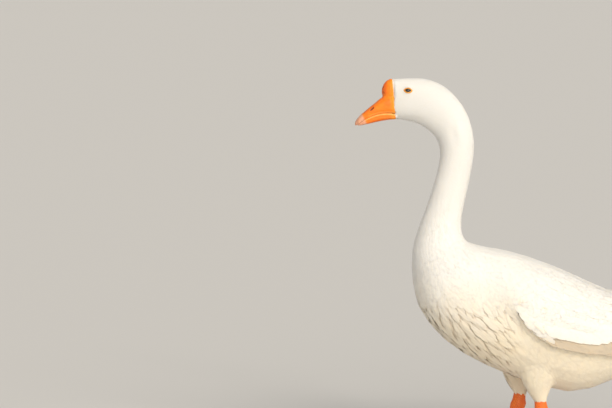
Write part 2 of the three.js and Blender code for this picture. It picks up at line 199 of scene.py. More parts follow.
def paint(mesh, **values):
    """Keeps numbers for each vertex under a name, for the materials to read."""
    for name, numbers in values.items():
        attribute = mesh.attributes.new(name, "FLOAT", "POINT")
        attribute.data.foreach_set("value", np.ascontiguousarray(numbers, np.float32))


def finish_piece(obj, material, nodes):
    """Gives the piece its material and puts it in the place of CAD nodes."""
    obj.data.materials.append(materials[material])
    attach(obj, "root")
    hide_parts(*nodes)


def even_surface(name, nodes, voxel, smoothing, swell=SEAM_SWELL, cuts=(), fillers=()):
    """One closed, even surface round copies of CAD nodes. Each cut is a point and a normal: what lies on
    the normal's side is left out. Each filler is an oval lump, its middle and half sizes."""
    together = bmesh.new()
    for node in nodes:
        part = bmesh.new()
        part.from_mesh(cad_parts[node].data)
        bmesh.ops.remove_doubles(part, verts=part.verts, dist=0.01 * MM)
        for point, normal in cuts:
            geom = part.verts[:] + part.edges[:] + part.faces[:]
            cut = bmesh.ops.bisect_plane(part, geom=geom, plane_co=point, plane_no=normal, clear_outer=True)
            rim = [e for e in cut["geom_cut"] if isinstance(e, bmesh.types.BMEdge)]
            if rim:
                bmesh.ops.holes_fill(part, edges=rim)
        part.normal_update()
        moves = [(v, v.normal * swell) for v in part.verts]
        for vert, move in moves:
            vert.co += move
        copy = bpy.data.meshes.new("copy")
        part.to_mesh(copy)
        part.free()
        together.from_mesh(copy)
        bpy.data.meshes.remove(copy)
    for middle, sizes in fillers:
        lump = bmesh.ops.create_icosphere(together, subdivisions=4, radius=1)["verts"]
        bmesh.ops.scale(together, verts=lump, vec=sizes)
        bmesh.ops.translate(together, verts=lump, vec=middle)
    obj = object_from(name, together)
    remesh = obj.modifiers.new("even", "REMESH")
    remesh.mode = "VOXEL"
    remesh.voxel_size = voxel
    smooth = obj.modifiers.new("soft", "SMOOTH")
    smooth.factor = 0.5
    smooth.iterations = smoothing
    applied(obj)
    whole = bmesh.new()
    whole.from_mesh(obj.data)
    one_body(whole)
    whole.to_mesh(obj.data)
    whole.free()
    obj.data.shade_smooth()
    return obj


# ---------- stage ----------
PIXEL = 1.75 * MM  # one pixel of a 612 by 408 view, at the bird's middle plane
VIEW_WIDTH = 612 * PIXEL
CAMERA_AIM = Vector((-0.403, 0, 0.441))
CAMERA_PITCH = math.radians(6)
CAMERA_AWAY = 6.0


def make_camera():
    """A camera on the bird's left side, looking slightly down."""
    data = bpy.data.cameras.new("camera")
    data.sensor_width = 36
    data.lens = data.sensor_width * CAMERA_AWAY / VIEW_WIDTH
    data.clip_end = 100
    camera = new_object("camera", data)
    ahead = Vector((0, math.cos(CAMERA_PITCH), -math.sin(CAMERA_PITCH)))
    camera.location = CAMERA_AIM - ahead * CAMERA_AWAY
    camera.rotation_euler = ahead.to_track_quat("-Z", "Y").to_euler()
    bpy.context.scene.camera = camera


def make_floor():
    """A plain pale floor."""
    bm = bmesh.new()
    bmesh.ops.create_grid(bm, x_segments=2, y_segments=2, size=40)
    floor = object_from("floor", bm)
    material = bpy.data.materials.new("floor")
    material.use_nodes = True
    shader = material.node_tree.nodes["Principled BSDF"]
    shader.inputs["Base Color"].default_value = (0.64, 0.63, 0.61, 1)
    shader.inputs["Roughness"].default_value = 0.9
    floor.data.materials.append(material)


def add_sun(name, at, power, softness, colour):
    """A wide soft light that shines from a place towards the origin. softness is its angle in degrees."""
    data = bpy.data.lights.new(name, "SUN")
    data.energy = power
    data.angle = math.radians(softness)
    data.color = colour
    light = new_object(name, data)
    light.location = at
    light.rotation_euler = (-Vector(at)).to_track_quat("-Z", "Y").to_euler()


def make_lights():
    """A warm soft light from above and behind, a lower one on the left side, and pale light all round."""
    add_sun("key", (1.9, -3.1, 2.7), 1.95, 28, (1.0, 0.93, 0.82))
    add_sun("fill", (0.6, -3.5, 1.0), 1.45, 40, (1.0, 0.93, 0.83))
    world = bpy.data.worlds.new("studio")
    world.use_nodes = True
    world.node_tree.nodes["Background"].inputs["Color"].default_value = (0.90, 0.89, 0.88, 1)
    world.node_tree.nodes["Background"].inputs["Strength"].default_value = 0.49
    bpy.context.scene.world = world
    bpy.context.scene.view_settings.view_transform = "Standard"


# ---------- materials ----------
materials = {}


class Nodes:
    """A short way to write a tree of shader nodes."""

    def __init__(self, tree):
        self.tree = tree

    def add(self, kind, inputs=(), **settings):
        """Adds a node. Each input is a socket's name or number and its value, or the socket that feeds it."""
        node = self.tree.nodes.new(kind)
        for key, value in settings.items():
            setattr(node, key, value)
        for key, value in dict(inputs).items():
            self.feed(node.inputs[key], value)
        return node

    def feed(self, socket, value):
        """Gives a socket its value, or links it to the socket that feeds it."""
        if isinstance(value, bpy.types.NodeSocket):
            self.tree.links.new(value, socket)
        elif isinstance(value, tuple) and len(value) == 3 and socket.type == "RGBA":
            socket.default_value = (*value, 1)
        else:
            socket.default_value = value

    def group(self, name, inputs):
        """Uses a group of shader nodes and gives its outputs."""
        return self.add("ShaderNodeGroup", inputs, node_tree=bpy.data.node_groups[name]).outputs

    def number(self, name):
        """A number that is kept on the mesh under a name."""
        return self.add("ShaderNodeAttribute", attribute_name=name).outputs["Fac"]

    def parts(self, vector):
        """A vector's X, Y and Z."""
        return self.add("ShaderNodeSeparateXYZ", {"Vector": vector}).outputs

    def math(self, operation, a, b=0.0):
        return self.add("ShaderNodeMath", {0: a, 1: b}, operation=operation).outputs[0]

    def times(self, a, b):
        return self.math("MULTIPLY", a, b)

    def span(self, value, low, high, to_low=0.0, to_high=1.0):
        """The value's range brought onto another range, smoothly; low may be the larger one."""
        inputs = {"Value": value, "From Min": low, "From Max": high, "To Min": to_low, "To Max": to_high}
        return self.add("ShaderNodeMapRange", inputs, interpolation_type="SMOOTHSTEP").outputs["Result"]

    def mix(self, share, a, b):
        """Colour a where the share is 0 and b where it is 1."""
        return self.add("ShaderNodeMix", {0: share, 6: a, 7: b}, data_type="RGBA").outputs[2]

    def noise(self, scale, detail=3.0, vector=None):
        """Soft spots, scale of them to a unit of the vector. Without one they lie in the object's metres."""
        vector = self.add("ShaderNodeTexCoord").outputs["Object"] if vector is None else vector
        inputs = {"Vector": vector, "Scale": scale, "Detail": detail, "Roughness": NOISE_ROUGHNESS}
        return self.add("ShaderNodeTexNoise", inputs).outputs["Fac"]

    def tinted(self, colour, mask, share, tint):
        """The colour brought nearer to a tint, by a share of a mask."""
        return self.mix(self.times(mask, share), colour, tint)

    def bump(self, height, strength, distance):
        inputs = {"Height": height, "Strength": strength, "Distance": distance}
        return self.add("ShaderNodeBump", inputs).outputs["Normal"]


NOISE_ROUGHNESS = 0.55


def new_group(name, inputs, outputs):
    """A group of shader nodes with named sockets: its nodes, what it is given and what it gives."""
    tree = bpy.data.node_groups.new(name, "ShaderNodeTree")
    for sockets, way in ((inputs, "INPUT"), (outputs, "OUTPUT")):
        for label, kind in sockets.items():
            tree.interface.new_socket(label, in_out=way, socket_type=f"NodeSocket{kind}")
    n = Nodes(tree)
    return n, n.add("NodeGroupInput").outputs, n.add("NodeGroupOutput").inputs


def shader_of(name, roughness):
    """A new material: its nodes and its shader."""
    material = bpy.data.materials.new(name)
    material.use_nodes = True
    shader = material.node_tree.nodes["Principled BSDF"]
    shader.inputs["Roughness"].default_value = roughness
    materials[name] = material
    return Nodes(material.node_tree), shader


WHITE = (0.87, 0.84, 0.78)
CREAM = (0.87, 0.74, 0.54)
# The light brown of the painted shade on feathers that lie in shade.
PAINTED_SHADE_COLOUR = (0.60, 0.49, 0.35)
STAIN = (0.80, 0.60, 0.34)
CREAM_FROM, CREAM_BELOW = 385 * MM, 215 * MM  # the heights between which the white turns to cream
SOILED_WAVER = 70 * MM
STAINS = [Vector((-32, -98, 280)) * MM, Vector((8, -104, 268)) * MM]  # two yellowish spots on the left wing
STAIN_SIZE = 9 * MM


def plumage_colour():
    """White plumage, creamier below the breast and on the flanks, with painted shade, a light brown, on the
    feathers given it.
    """
    n, given, out = new_group("plumage colour", {"Tint": "Float", "Wing": "Float", "Painted shade": "Float"},
                              {"Colour": "Color"})
    place = n.add("ShaderNodeTexCoord").outputs["Object"]
    waver = n.times(n.noise(16, 4), SOILED_WAVER)
    low = n.span(n.math("ADD", n.parts(place)["Z"], waver), CREAM_FROM, CREAM_BELOW)
    off_wing = n.math("SUBTRACT", 1.0, n.times(given["Wing"], 0.85))
    colour = n.tinted(WHITE, n.times(low, off_wing), 0.85, CREAM)
    speck = n.span(n.noise(55, 2), 0.66, 0.78)
    colour = n.tinted(colour, speck, 0.10, STAIN)
    for middle in STAINS:
        away = n.add("ShaderNodeVectorMath", {0: place, 1: middle}, operation="DISTANCE").outputs["Value"]
        spot = n.times(n.span(away, STAIN_SIZE, 0.0), n.span(n.noise(220, 3), 0.35, 0.60))
        colour = n.tinted(colour, spot, 0.75, STAIN)
    colour = n.tinted(colour, given["Tint"], 0.07, CREAM)
    # Painted shade, light brown, on the feathers given it: the secondaries under the coverts, the gaps
    # between the breast's locks, and a little on the alula and the wrist.
    n.feed(out["Colour"], n.mix(given["Painted shade"], colour, PAINTED_SHADE_COLOUR))


def vane_relief():
    """The fine barbs and the shaft of a feather, from the map of its vane in centimetres."""
    n, given, out = new_group("vane relief", {"Vane": "Vector", "Period": "Float"}, {"Height": "Float"})
    vane = n.parts(given["Vane"])
    aside = n.math("ABSOLUTE", vane["X"])
    sweep = n.math("SUBTRACT", vane["Y"], n.times(aside, 0.85))
    wobble = n.times(n.noise(3, 2, given["Vane"]), 0.25)
    turns = n.math("DIVIDE", n.math("ADD", sweep, wobble), given["Period"])
    barbs = n.math("SINE", n.times(turns, 2 * math.pi))
    shaft = n.span(aside, 0.0, 0.06, 1.0, 0.0)
    n.feed(out["Height"], n.math("ADD", n.times(barbs, 0.35), n.times(shaft, 0.8)))


def plumage_material(name, vaned):
    """The feathers' material, with the relief of a vane, or the bare skin's between them."""
    n, shader = shader_of(name, 0.78)
    feather_tones_and_shade = n.parts(n.add("ShaderNodeAttribute", attribute_name="feather_tones_and_shade").outputs["Vector"])
    given = {"Tint": feather_tones_and_shade["X"], "Wing": feather_tones_and_shade["Y"], "Painted shade": feather_tones_and_shade["Z"]}
    n.feed(shader.inputs["Base Color"], n.group("plumage colour", given)["Colour"])
    shader.inputs["Subsurface Weight"].default_value = 0.35
    shader.inputs["Subsurface Radius"].default_value = (0.0022, 0.0019, 0.0015)
    shader.inputs["Sheen Weight"].default_value = 0.15
    shader.inputs["Sheen Roughness"].default_value = 0.5
    if vaned:
        vane = n.add("ShaderNodeUVMap", uv_map="Vane").outputs["UV"]
        height = n.group("vane relief", {"Vane": vane, "Period": 0.06})["Height"]
        n.feed(shader.inputs["Normal"], n.bump(height, 0.15, 0.0003))
    else:
        n.feed(shader.inputs["Normal"], n.bump(n.noise(700, 2), 0.3, 0.0005))


def horny_skin():
    """Bare skin of bill, lids, legs or claws: two main colours clouded together, and a fine grain."""
    n, given, out = new_group("horny skin", {"Deep": "Color", "Light": "Color", "Grain": "Float"},
                              {"Colour": "Color", "Normal": "Vector"})
    clouds = n.span(n.noise(55, 3), 0.35, 0.68)
    n.feed(out["Colour"], n.mix(clouds, given["Deep"], given["Light"]))
    n.feed(out["Normal"], n.bump(n.noise(1500, 2), given["Grain"], 0.0004))


def horny_material(name, deep, light, roughness, grain):
    """A material of bare skin: its nodes, its shader and the skin's own colour."""
    n, shader = shader_of(name, roughness)
    skin = n.group("horny skin", {"Deep": deep, "Light": light, "Grain": grain})
    n.feed(shader.inputs["Normal"], skin["Normal"])
    return n, shader, skin["Colour"]


def bill_material():
    """Orange, brighter at the root, redder and flecked on the knob, with a pinkish tip, a paler line along
    the lip that is a painted highlight, and painted shade in the nostrils and the gape.
    """
    n, shader, colour = horny_material("bill", (0.92, 0.190, 0.010), (0.97, 0.265, 0.014), 0.42, 0.25)
    colour = n.tinted(colour, n.number("root"), 0.75, (0.99, 0.38, 0.030))
    colour = n.tinted(colour, n.number("red"), 0.60, (0.78, 0.115, 0.018))
    brown = n.times(n.span(n.noise(150, 4), 0.56, 0.68), n.number("red"))
    colour = n.tinted(colour, brown, 0.75, (0.22, 0.045, 0.015))
    colour = n.tinted(colour, n.number("cell"), 0.12, (0.70, 0.11, 0.012))
    colour = n.tinted(colour, n.number("pore"), 0.10, (0.55, 0.08, 0.01))
    # the lip's paler line is a painted highlight along the closing edge
    colour = n.tinted(colour, n.number("lip"), 0.75, (0.96, 0.55, 0.17))
    colour = n.tinted(colour, n.number("pale"), 0.85, (0.76, 0.42, 0.28))
    # painted shade in the nostril slits and the gape, and a faint dark line round the nail
    colour = n.mix(n.number("dark"), colour, (0.09, 0.018, 0.008))
    n.feed(shader.inputs["Base Color"], colour)
    n.feed(shader.inputs["Roughness"], n.span(n.noise(240, 3), 0.3, 0.7, 0.36, 0.52))
    shader.inputs["Subsurface Weight"].default_value = 0.12
    shader.inputs["Subsurface Radius"].default_value = (0.004, 0.0015, 0.0006)
    shader.inputs["Specular IOR Level"].default_value = 0.35


def lids_material():
    """Yellowish orange skin round the eyes."""
    n, shader, colour = horny_material("lids", (0.88, 0.33, 0.02), (0.95, 0.48, 0.05), 0.45, 0.25)
    n.feed(shader.inputs["Base Color"], n.tinted(colour, n.noise(900, 2), 0.15, (0.55, 0.13, 0.02)))


def leg_material():
    """Orange scales with darker seams, paler webs, and some dust low down."""
    n, shader, colour = horny_material("leg", (0.86, 0.150, 0.014), (0.94, 0.215, 0.022), 0.5, 0.3)
    colour = n.tinted(colour, n.number("cell"), 0.25, (0.70, 0.105, 0.015))
    colour = n.tinted(colour, n.number("web"), 0.35, (0.92, 0.30, 0.05))
    colour = n.tinted(colour, n.number("seam"), 0.45, (0.42, 0.075, 0.02))
    dust = n.times(n.number("low"), n.span(n.noise(90, 4), 0.45, 0.70))
    n.feed(shader.inputs["Base Color"], n.tinted(colour, dust, 0.35, (0.42, 0.30, 0.20)))


def claw_material():
    """Horn, darker at the tips."""
    n, shader, colour = horny_material("claw", (0.62, 0.44, 0.28), (0.70, 0.55, 0.38), 0.4, 0.15)
    towards_tip = n.span(n.number("tip"), -0.6, 0.9)
    n.feed(shader.inputs["Base Color"], n.tinted(colour, towards_tip, 0.8, (0.34, 0.24, 0.16)))


def eye_material():
    """A black pupil, a dark blue iris and a darker rim, under a glossy cornea."""
    n, shader = shader_of("eye", 0.12)
    out = n.number("out")
    iris = n.mix(n.noise(1400, 2), (0.012, 0.018, 0.040), (0.030, 0.035, 0.060))
    colour = n.mix(n.span(out, 3.6, 4.1), (0.003, 0.003, 0.005), iris)
    n.feed(shader.inputs["Base Color"], n.mix(n.span(out, 5.9, 6.6), colour, (0.05, 0.03, 0.02)))
    shader.inputs["Coat Weight"].default_value = 1.0
    shader.inputs["Coat Roughness"].default_value = 0.03


# ---------- the folded wing, seen from the side ----------
# Its lower edge from the bend to the tip, and the line of the back above it: [x, z] in millimetres.
WING_EDGE = np.array([[-62, 300], [-40, 262], [-15, 233], [26, 207], [82, 192.5], [140, 188], [195, 201],
                      [245, 229], [296, 262]]) * MM
BACK_LINE = np.array([[-98, 367.5], [-68, 361], [-30, 352], [12, 337.5], [52, 322], [90, 304], [130, 287],
                      [170, 272], [205, 262], [240, 262], [296, 268]]) * MM


def lean_of(line, x):
    """The angle that a side-view line makes with the level at x."""
    step = 9 * MM
    return np.arctan2(height_on(line, x + step) - height_on(line, x - step), 2 * step)


def wing_share(co, normal):
    """1 on the outer side of the folded wings, 0 elsewhere."""
    x, y, z = co.T
    side = np.sign(y)
    outwards = np.maximum(normal[:, 1] * side, normal[:, 2])
    above = smooth_step(z - height_on(WING_EDGE, x), -1 * MM, 5 * MM)
    front = smooth_step(x, -90 * MM, -25 * MM)
    return above * front * smooth_step(np.abs(y), 2 * MM, 20 * MM) * (outwards > 0.05)


def wing_way(co):
    """The direction of the wing's feathers: along its lower edge below and along the back above."""
    x, _, z = co.T
    edge, back = height_on(WING_EDGE, x), height_on(BACK_LINE, x)
    up = np.clip((z - edge) / np.maximum(back - edge, 5 * MM), 0, 1)
    angle = lean_of(WING_EDGE, x) * (1 - up) + lean_of(BACK_LINE, x) * up
    return np.stack([np.cos(angle), np.zeros_like(x), np.sin(angle)], 1)


# ---------- skin ----------
# The middle line of the tail's root, seen from the side: [x, z] in millimetres.
TAIL_CORE = np.array([[225, 232], [245, 241], [262, 246]]) * MM


class Surface:
    """A skin's triangles, with what feathers need to know at any place on them."""

    def __init__(self, obj):
        mesh = obj.data
        mesh.calc_loop_triangles()
        self.co = coordinates(mesh)
        self.normal = normals(mesh)
        tri = np.empty(len(mesh.loop_triangles) * 3, np.int32)
        mesh.loop_triangles.foreach_get("vertices", tri)
        self.tri = tri.reshape(-1, 3)
        loops = np.empty(len(self.tri) * 3, np.int32)
        mesh.loop_triangles.foreach_get("loops", loops)
        self.loops = loops.reshape(-1, 3)
        self.bvh = BVHTree.FromPolygons(self.co.tolist(), self.tri.tolist())

    def neighbours(self):
        """Both ends of every edge, each way round."""
        pairs = np.concatenate([self.tri[:, [0, 1]], self.tri[:, [1, 2]], self.tri[:, [2, 0]]])
        pairs = np.unique(np.concatenate([pairs, pairs[:, ::-1]]), axis=0)
        return pairs[:, 0], pairs[:, 1]

    def evened(self, values, rounds):
        """Per-vertex values, averaged with their neighbours' again and again."""
        a, b = self.neighbours()
        count = np.bincount(a, minlength=len(self.co))[:, None]
        for _ in range(rounds):
            total = np.stack([np.bincount(a, values[b, k], len(self.co)) for k in range(values.shape[1])], 1)
            values = 0.5 * values + 0.5 * total / count
        return values

    def shares(self, points, faces):
        """Barycentric weights of points on their triangles."""
        a, b, c = (self.co[self.tri[faces, k]] for k in range(3))
        ab, ac, ap = b - a, c - a, points - a
        d00, d01, d11 = (ab * ab).sum(1), (ab * ac).sum(1), (ac * ac).sum(1)
        d20, d21 = (ap * ab).sum(1), (ap * ac).sum(1)
        under = np.maximum(d00 * d11 - d01 * d01, 1e-20)
        v = np.clip((d11 * d20 - d01 * d21) / under, 0, 1)
        w = np.clip((d00 * d21 - d01 * d20) / under, 0, 1)
        weights = np.stack([np.clip(1 - v - w, 0, 1), v, w], 1)
        return weights / weights.sum(1, keepdims=True)

    def at(self, values, faces, weights):
        """Per-vertex values at places given by triangle and weights."""
        return (values[self.tri[faces]] * weights[:, :, None]).sum(1)

    def nearest(self, points):
        """The closest place on the surface to each point: its position, triangle and weights."""
        hits = [self.bvh.find_nearest(p) for p in points.tolist()]
        place = np.array([tuple(h[0]) for h in hits])
        faces = np.array([h[2] for h in hits])
        return place, faces, self.shares(place, faces)


def way_from(surface, sources):
    """The distance over the surface from the nearest source vertex, to each vertex."""
    a, b = surface.neighbours()
    length = np.linalg.norm(surface.co[a] - surface.co[b], axis=1)
    starts = np.searchsorted(a, np.arange(len(surface.co) + 1))
    b, length = b.tolist(), length.tolist()
    far = [math.inf] * len(surface.co)
    heap = [(0.0, int(s)) for s in sources]
    for _, s in heap:
        far[s] = 0.0
    while heap:
        d, i = heapq.heappop(heap)
        if d > far[i]:
            continue
        for k in range(starts[i], starts[i + 1]):
            new = d + length[k]
            if new < far[b[k]]:
                far[b[k]] = new
                heapq.heappush(heap, (new, b[k]))
    return np.array(far)


def slope_of(surface, values):
    """The direction at each vertex in which the values grow fastest over the surface."""
    a, b, c = (surface.co[surface.tri[:, k]] for k in range(3))
    va, vb, vc = (values[surface.tri[:, k]][:, None] for k in range(3))
    across = np.cross(b - a, c - a)
    double = np.maximum(dot(across, across), 1e-24)
    slope = np.cross(across, c - b) * va + np.cross(across, a - c) * vb + np.cross(across, b - a) * vc
    weight = np.sqrt(double)
    total = np.zeros_like(surface.co)
    for k in range(3):
        np.add.at(total, surface.tri[:, k], slope / double * weight)
    return unit(total)


# How deep the plumage is, from the bill back over the head and down the neck: [way from the bill, depth]
COAT_DEPTH = np.array([[0, 0.7], [12, 1.0], [50, 1.4], [110, 1.9], [200, 2.6], [320, 3.6], [420, 4.6],
                       [900, 4.6]]) * MM


def node_tree(nodes):
    """The CAD nodes' faces, to find the nearest place on them."""
    together = bmesh.new()
    for node in nodes:
        together.from_mesh(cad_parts[node].data)
    tree = BVHTree.FromBMesh(together)
    together.free()
    return tree


def blend_shoulders(outer):
    """Lets the upper front of the folded wings run smoothly into the breast, as the feathers do there."""
    x, y, z = outer.co.T
    share = smooth_step(x, -108 * MM, -88 * MM) * smooth_step(x, -8 * MM, -32 * MM)
    share *= smooth_step(z, 252 * MM, 272 * MM) * smooth_step(np.abs(y), 40 * MM, 56 * MM)
    even = outer.evened(outer.co, 160)
    return outer.co * (1 - share[:, None]) + even * share[:, None]


# Shallow furrows on both sides of the head and neck, seen from the side: both ends, half width and depth.
FURROWS = [(np.array([-147, 582]) * MM, np.array([-142, 538]) * MM, 6 * MM, 1.5 * MM),
           (np.array([-236, 593]) * MM, np.array([-192, 591]) * MM, 3.5 * MM, 0.7 * MM)]


def furrowed(outer):
    """The surface's places with the furrows pressed into both sides."""
    side_view = outer.co[:, [0, 2]]
    deep = np.zeros(len(side_view))
    for start, end, half, depth in FURROWS:
        way = end - start
        share = np.clip((side_view - start) @ way / (way @ way), 0, 1)
        away = np.linalg.norm(side_view - start - share[:, None] * way, axis=1)
        deep += depth * np.sin(np.pi * share) * np.exp(-((away / half) ** 2))
    deep *= np.abs(outer.normal[:, 1]) > 0.4
    return outer.co - outer.normal * deep[:, None]


def taper_tail(co):
    """Draws the skin's cut end in under the tail's feathers."""
    end = smooth_step(co[:, 0], SKIN_END_X - 30 * MM, SKIN_END_X)
    middle = height_on(TAIL_CORE, co[:, 0])
    co[:, 1] *= 1 - 0.55 * end
    co[:, 2] = middle + (co[:, 2] - middle) * (1 - 0.7 * end)
    return co


def close_face(obj, far_in_bill):
    """Ends the skin a little way into the bill, with a flat face."""
    bm = bmesh.new()
    bm.from_mesh(obj.data)
    bm.verts.ensure_lookup_table()
    bmesh.ops.delete(bm, geom=[bm.verts[i] for i in np.nonzero(far_in_bill)[0]], context="VERTS")
    one_body(bm)
    rim = [e for e in bm.edges if e.is_boundary]
    filled = bmesh.ops.holes_fill(bm, edges=rim)["faces"]
    bmesh.ops.triangulate(bm, faces=filled)
    bm.to_mesh(obj.data)
    bm.free()
    obj.data.shade_smooth()


def find_bill(outer):
    """Where the surface belongs to the bill, where it is far inside it, and its places brought in under the
    bill's own surface."""
    head, bill = node_tree(["head", "neck_upper"]), node_tree(BILL)
    in_bill, far_in_bill = np.zeros((2, len(outer.co)), bool)
    under_bill = outer.co.copy()
    for i in np.nonzero(outer.co[:, 0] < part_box("head")[0].x + BILL_NEAR)[0]:
        place, normal, _, away = bill.find_nearest(outer.co[i])
        from_face = head.find_nearest(outer.co[i])[3]
        if away < from_face or outer.co[i, 0] < height_on(FEATHER_LINE, outer.co[i, 2]):
            in_bill[i] = True
            far_in_bill[i] = from_face > FACE_REACH
            under_bill[i] = place - normal * UNDER_BILL
    return in_bill, far_in_bill, under_bill


def body_thickness(outer):
    """How far it is from each vertex straight through the body."""
    inwards = -outer.normal
    thick = np.ones(len(outer.co))
    for i, (start, way) in enumerate(zip((outer.co + inwards * 0.1 * MM).tolist(), inwards.tolist())):
        through = outer.bvh.ray_cast(start, way)[3]
        if through is not None:
            thick[i] = through
    return thick


def coat_depth(outer, way, on_wing):
    """How deep the plumage is at each vertex: shallower on the thighs, the wings and every thin part."""
    depth = np.interp(way, COAT_DEPTH[:, 0], COAT_DEPTH[:, 1])
    low = smooth_step(outer.co[:, 2], *THIGH_HEIGHTS)
    depth = depth * (1 - low) + np.minimum(depth, THIGH_COAT) * low
    depth = depth * (1 - on_wing) + np.minimum(depth, WING_COAT) * on_wing
    depth = np.minimum(depth, MOST_COAT * body_thickness(outer))
    return outer.evened(depth[:, None], 12)[:, 0]


def make_skin():
    """The bird's skin under its feathers: the flesh nodes made one, drawn in by the plumage's depth. It
    runs on under the bill and behind the eyes, so that no gap shows round them. Also gives the skin's surface
    with all that the feathers need to know, and the bird's outer surface."""
    cuts = [(Vector((SKIN_END_X, 0, 0)), Vector((1, 0, 0)))]
    obj = even_surface("skin", FLESH + BILL + EYES, SKIN_VOXEL, 14, cuts=cuts)
    set_coordinates(obj.data, blend_shoulders(Surface(obj)))
    set_coordinates(obj.data, furrowed(Surface(obj)))
    outer = Surface(obj)
    in_bill, far_in_bill, under_bill = find_bill(outer)
    way = way_from(outer, np.nonzero(in_bill)[0])
    way = outer.evened(way[:, None], 30)[:, 0]
    on_wing = wing_share(outer.co, outer.normal)
    depth = coat_depth(outer, way, on_wing)
    drawn_in = outer.co - outer.normal * depth[:, None]
    drawn_in[in_bill] = under_bill[in_bill]
    set_coordinates(obj.data, taper_tail(drawn_in))
    skin_surface = Surface(obj)
    flow = outer.evened(slope_of(outer, way), 25)
    flow = unit(flow) * (1 - on_wing[:, None]) + wing_way(outer.co) * on_wing[:, None]
    flow = outer.evened(flow, 6)
    skin_surface.way = np.where(in_bill, -2 * MM, way)
    skin_surface.depth = depth
    skin_surface.on_wing = on_wing
    skin_surface.flow = unit(flow - skin_surface.normal * dot(flow, skin_surface.normal))
    unwrap(obj)
    skin_surface.uv = corner_uvs(obj.data)[skin_surface.loops]
    close_face(obj, far_in_bill)
    return obj, skin_surface, outer


def unwrap(obj):
    """A map of the skin's own shape, on which the colours are kept."""
    obj.data.uv_layers.new(name="OFBake")
    bpy.context.view_layer.objects.active = obj
    obj.select_set(True)
    bpy.ops.object.mode_set(mode="EDIT")
    bpy.ops.mesh.select_all(action="SELECT")
    bpy.ops.uv.smart_project(angle_limit=math.radians(66), island_margin=0.002)
    bpy.ops.object.mode_set(mode="OBJECT")
    obj.select_set(False)


def corner_uvs(mesh):
    """The colour map's place for each corner of the mesh's faces."""
    uv = np.empty(len(mesh.loops) * 2, np.float32)
    mesh.uv_layers["OFBake"].data.foreach_get("uv", uv)
    return uv.reshape(-1, 2)


# ---------- bill ----------
# The line where the bill closes, from the gape to the tip, seen from the side: [x, z] in millimetres.
TOMIUM = np.array([[-246, 600.3], [-262, 601.2], [-273, 600.2], [-285, 597], [-297, 591.4], [-307, 585.6],
                   [-313, 581.5]]) * MM
NOSTRIL = {"x": -288.5 * MM, "z": 609 * MM, "lean": math.radians(42), "long": 4.2 * MM, "wide": 1.3 * MM}
NAIL_X = -303.5 * MM
NAIL_HALF = 7 * MM
ROOT_BLEND = 6 * MM  # over this way the bill's own shape runs into the face's
ROOT_PROUD = 0.1 * MM  # how high it lies over the face's shape in front of the feather line
ROOT_SUNK = 1.8 * MM  # and how deep in it behind that line
PORE_SPACING = 1.7 * MM
# The lump that carries the knob on the bill's root: its middle and half sizes.
KNOB_ROOT = (Vector((-253, 0, 623)) * MM, Vector((16.5, 14.2, 15)) * MM)


def root_in_face(obj, outer):
    """Brings the back of a piece of the bill flush with the face up to the feather line, and behind that line
    in under the first feathers."""
    co = coordinates(obj.data)
    behind = co[:, 0] - height_on(FEATHER_LINE, co[:, 2])
    for i in np.nonzero(behind > -ROOT_BLEND)[0]:
        place, normal, _, away = outer.bvh.find_nearest(co[i])
        place, normal = np.array(place), np.array(normal)
        sunk = ROOT_PROUD - (ROOT_PROUD + ROOT_SUNK) * smooth_step(behind[i], 0, 1.2 * MM)
        near = smooth_step(away, 3.4 * MM, 2.2 * MM) * smooth_step(behind[i], -ROOT_BLEND, -2 * MM)
        co[i] += near * (place + normal * sunk - co[i])
    set_coordinates(obj.data, co)
    surface = Surface(obj)
    soft = smooth_step(behind, -ROOT_BLEND, -ROOT_BLEND / 2) * smooth_step(behind, 1 * MM, -0.5 * MM)
    soft = soft[:, None]
    set_coordinates(obj.data, surface.co * (1 - soft) + surface.evened(surface.co, 25) * soft)


def fill_crease(obj):
    """Softens the crease where the knob sits on the bill, and the bill's tip."""
    surface = Surface(obj)
    x, _, z = surface.co.T
    crease = hump(z + 0.25 * (x + 262 * MM), 624 * MM, 9 * MM)
    crease = np.maximum(crease, smooth_step(x, -311 * MM, -315 * MM))[:, None]
    even = surface.evened(surface.co, 60)
    set_coordinates(obj.data, surface.co * (1 - 0.85 * crease) + even * 0.85 * crease)


def pink_tip(x, z):
    """1 on the pinkish horn at the bill's tip, which reaches further back below."""
    edge = -301 * MM + 0.5 * (590 * MM - z)
    return smooth_step(x - edge, 2.5 * MM, -2.5 * MM)


def bright_root(x):
    """1 on the brighter strip along the face."""
    return smooth_step(x, -258 * MM, -250.5 * MM)


def pored(co, seed):
    """The bill's fine pores, 1 in each one's middle, and a number for each patch between them."""
    inside, number = cells(co, np.full(len(co), PORE_SPACING), seed)
    return smooth_step(inside, 0.5 * MM, 0.0), number


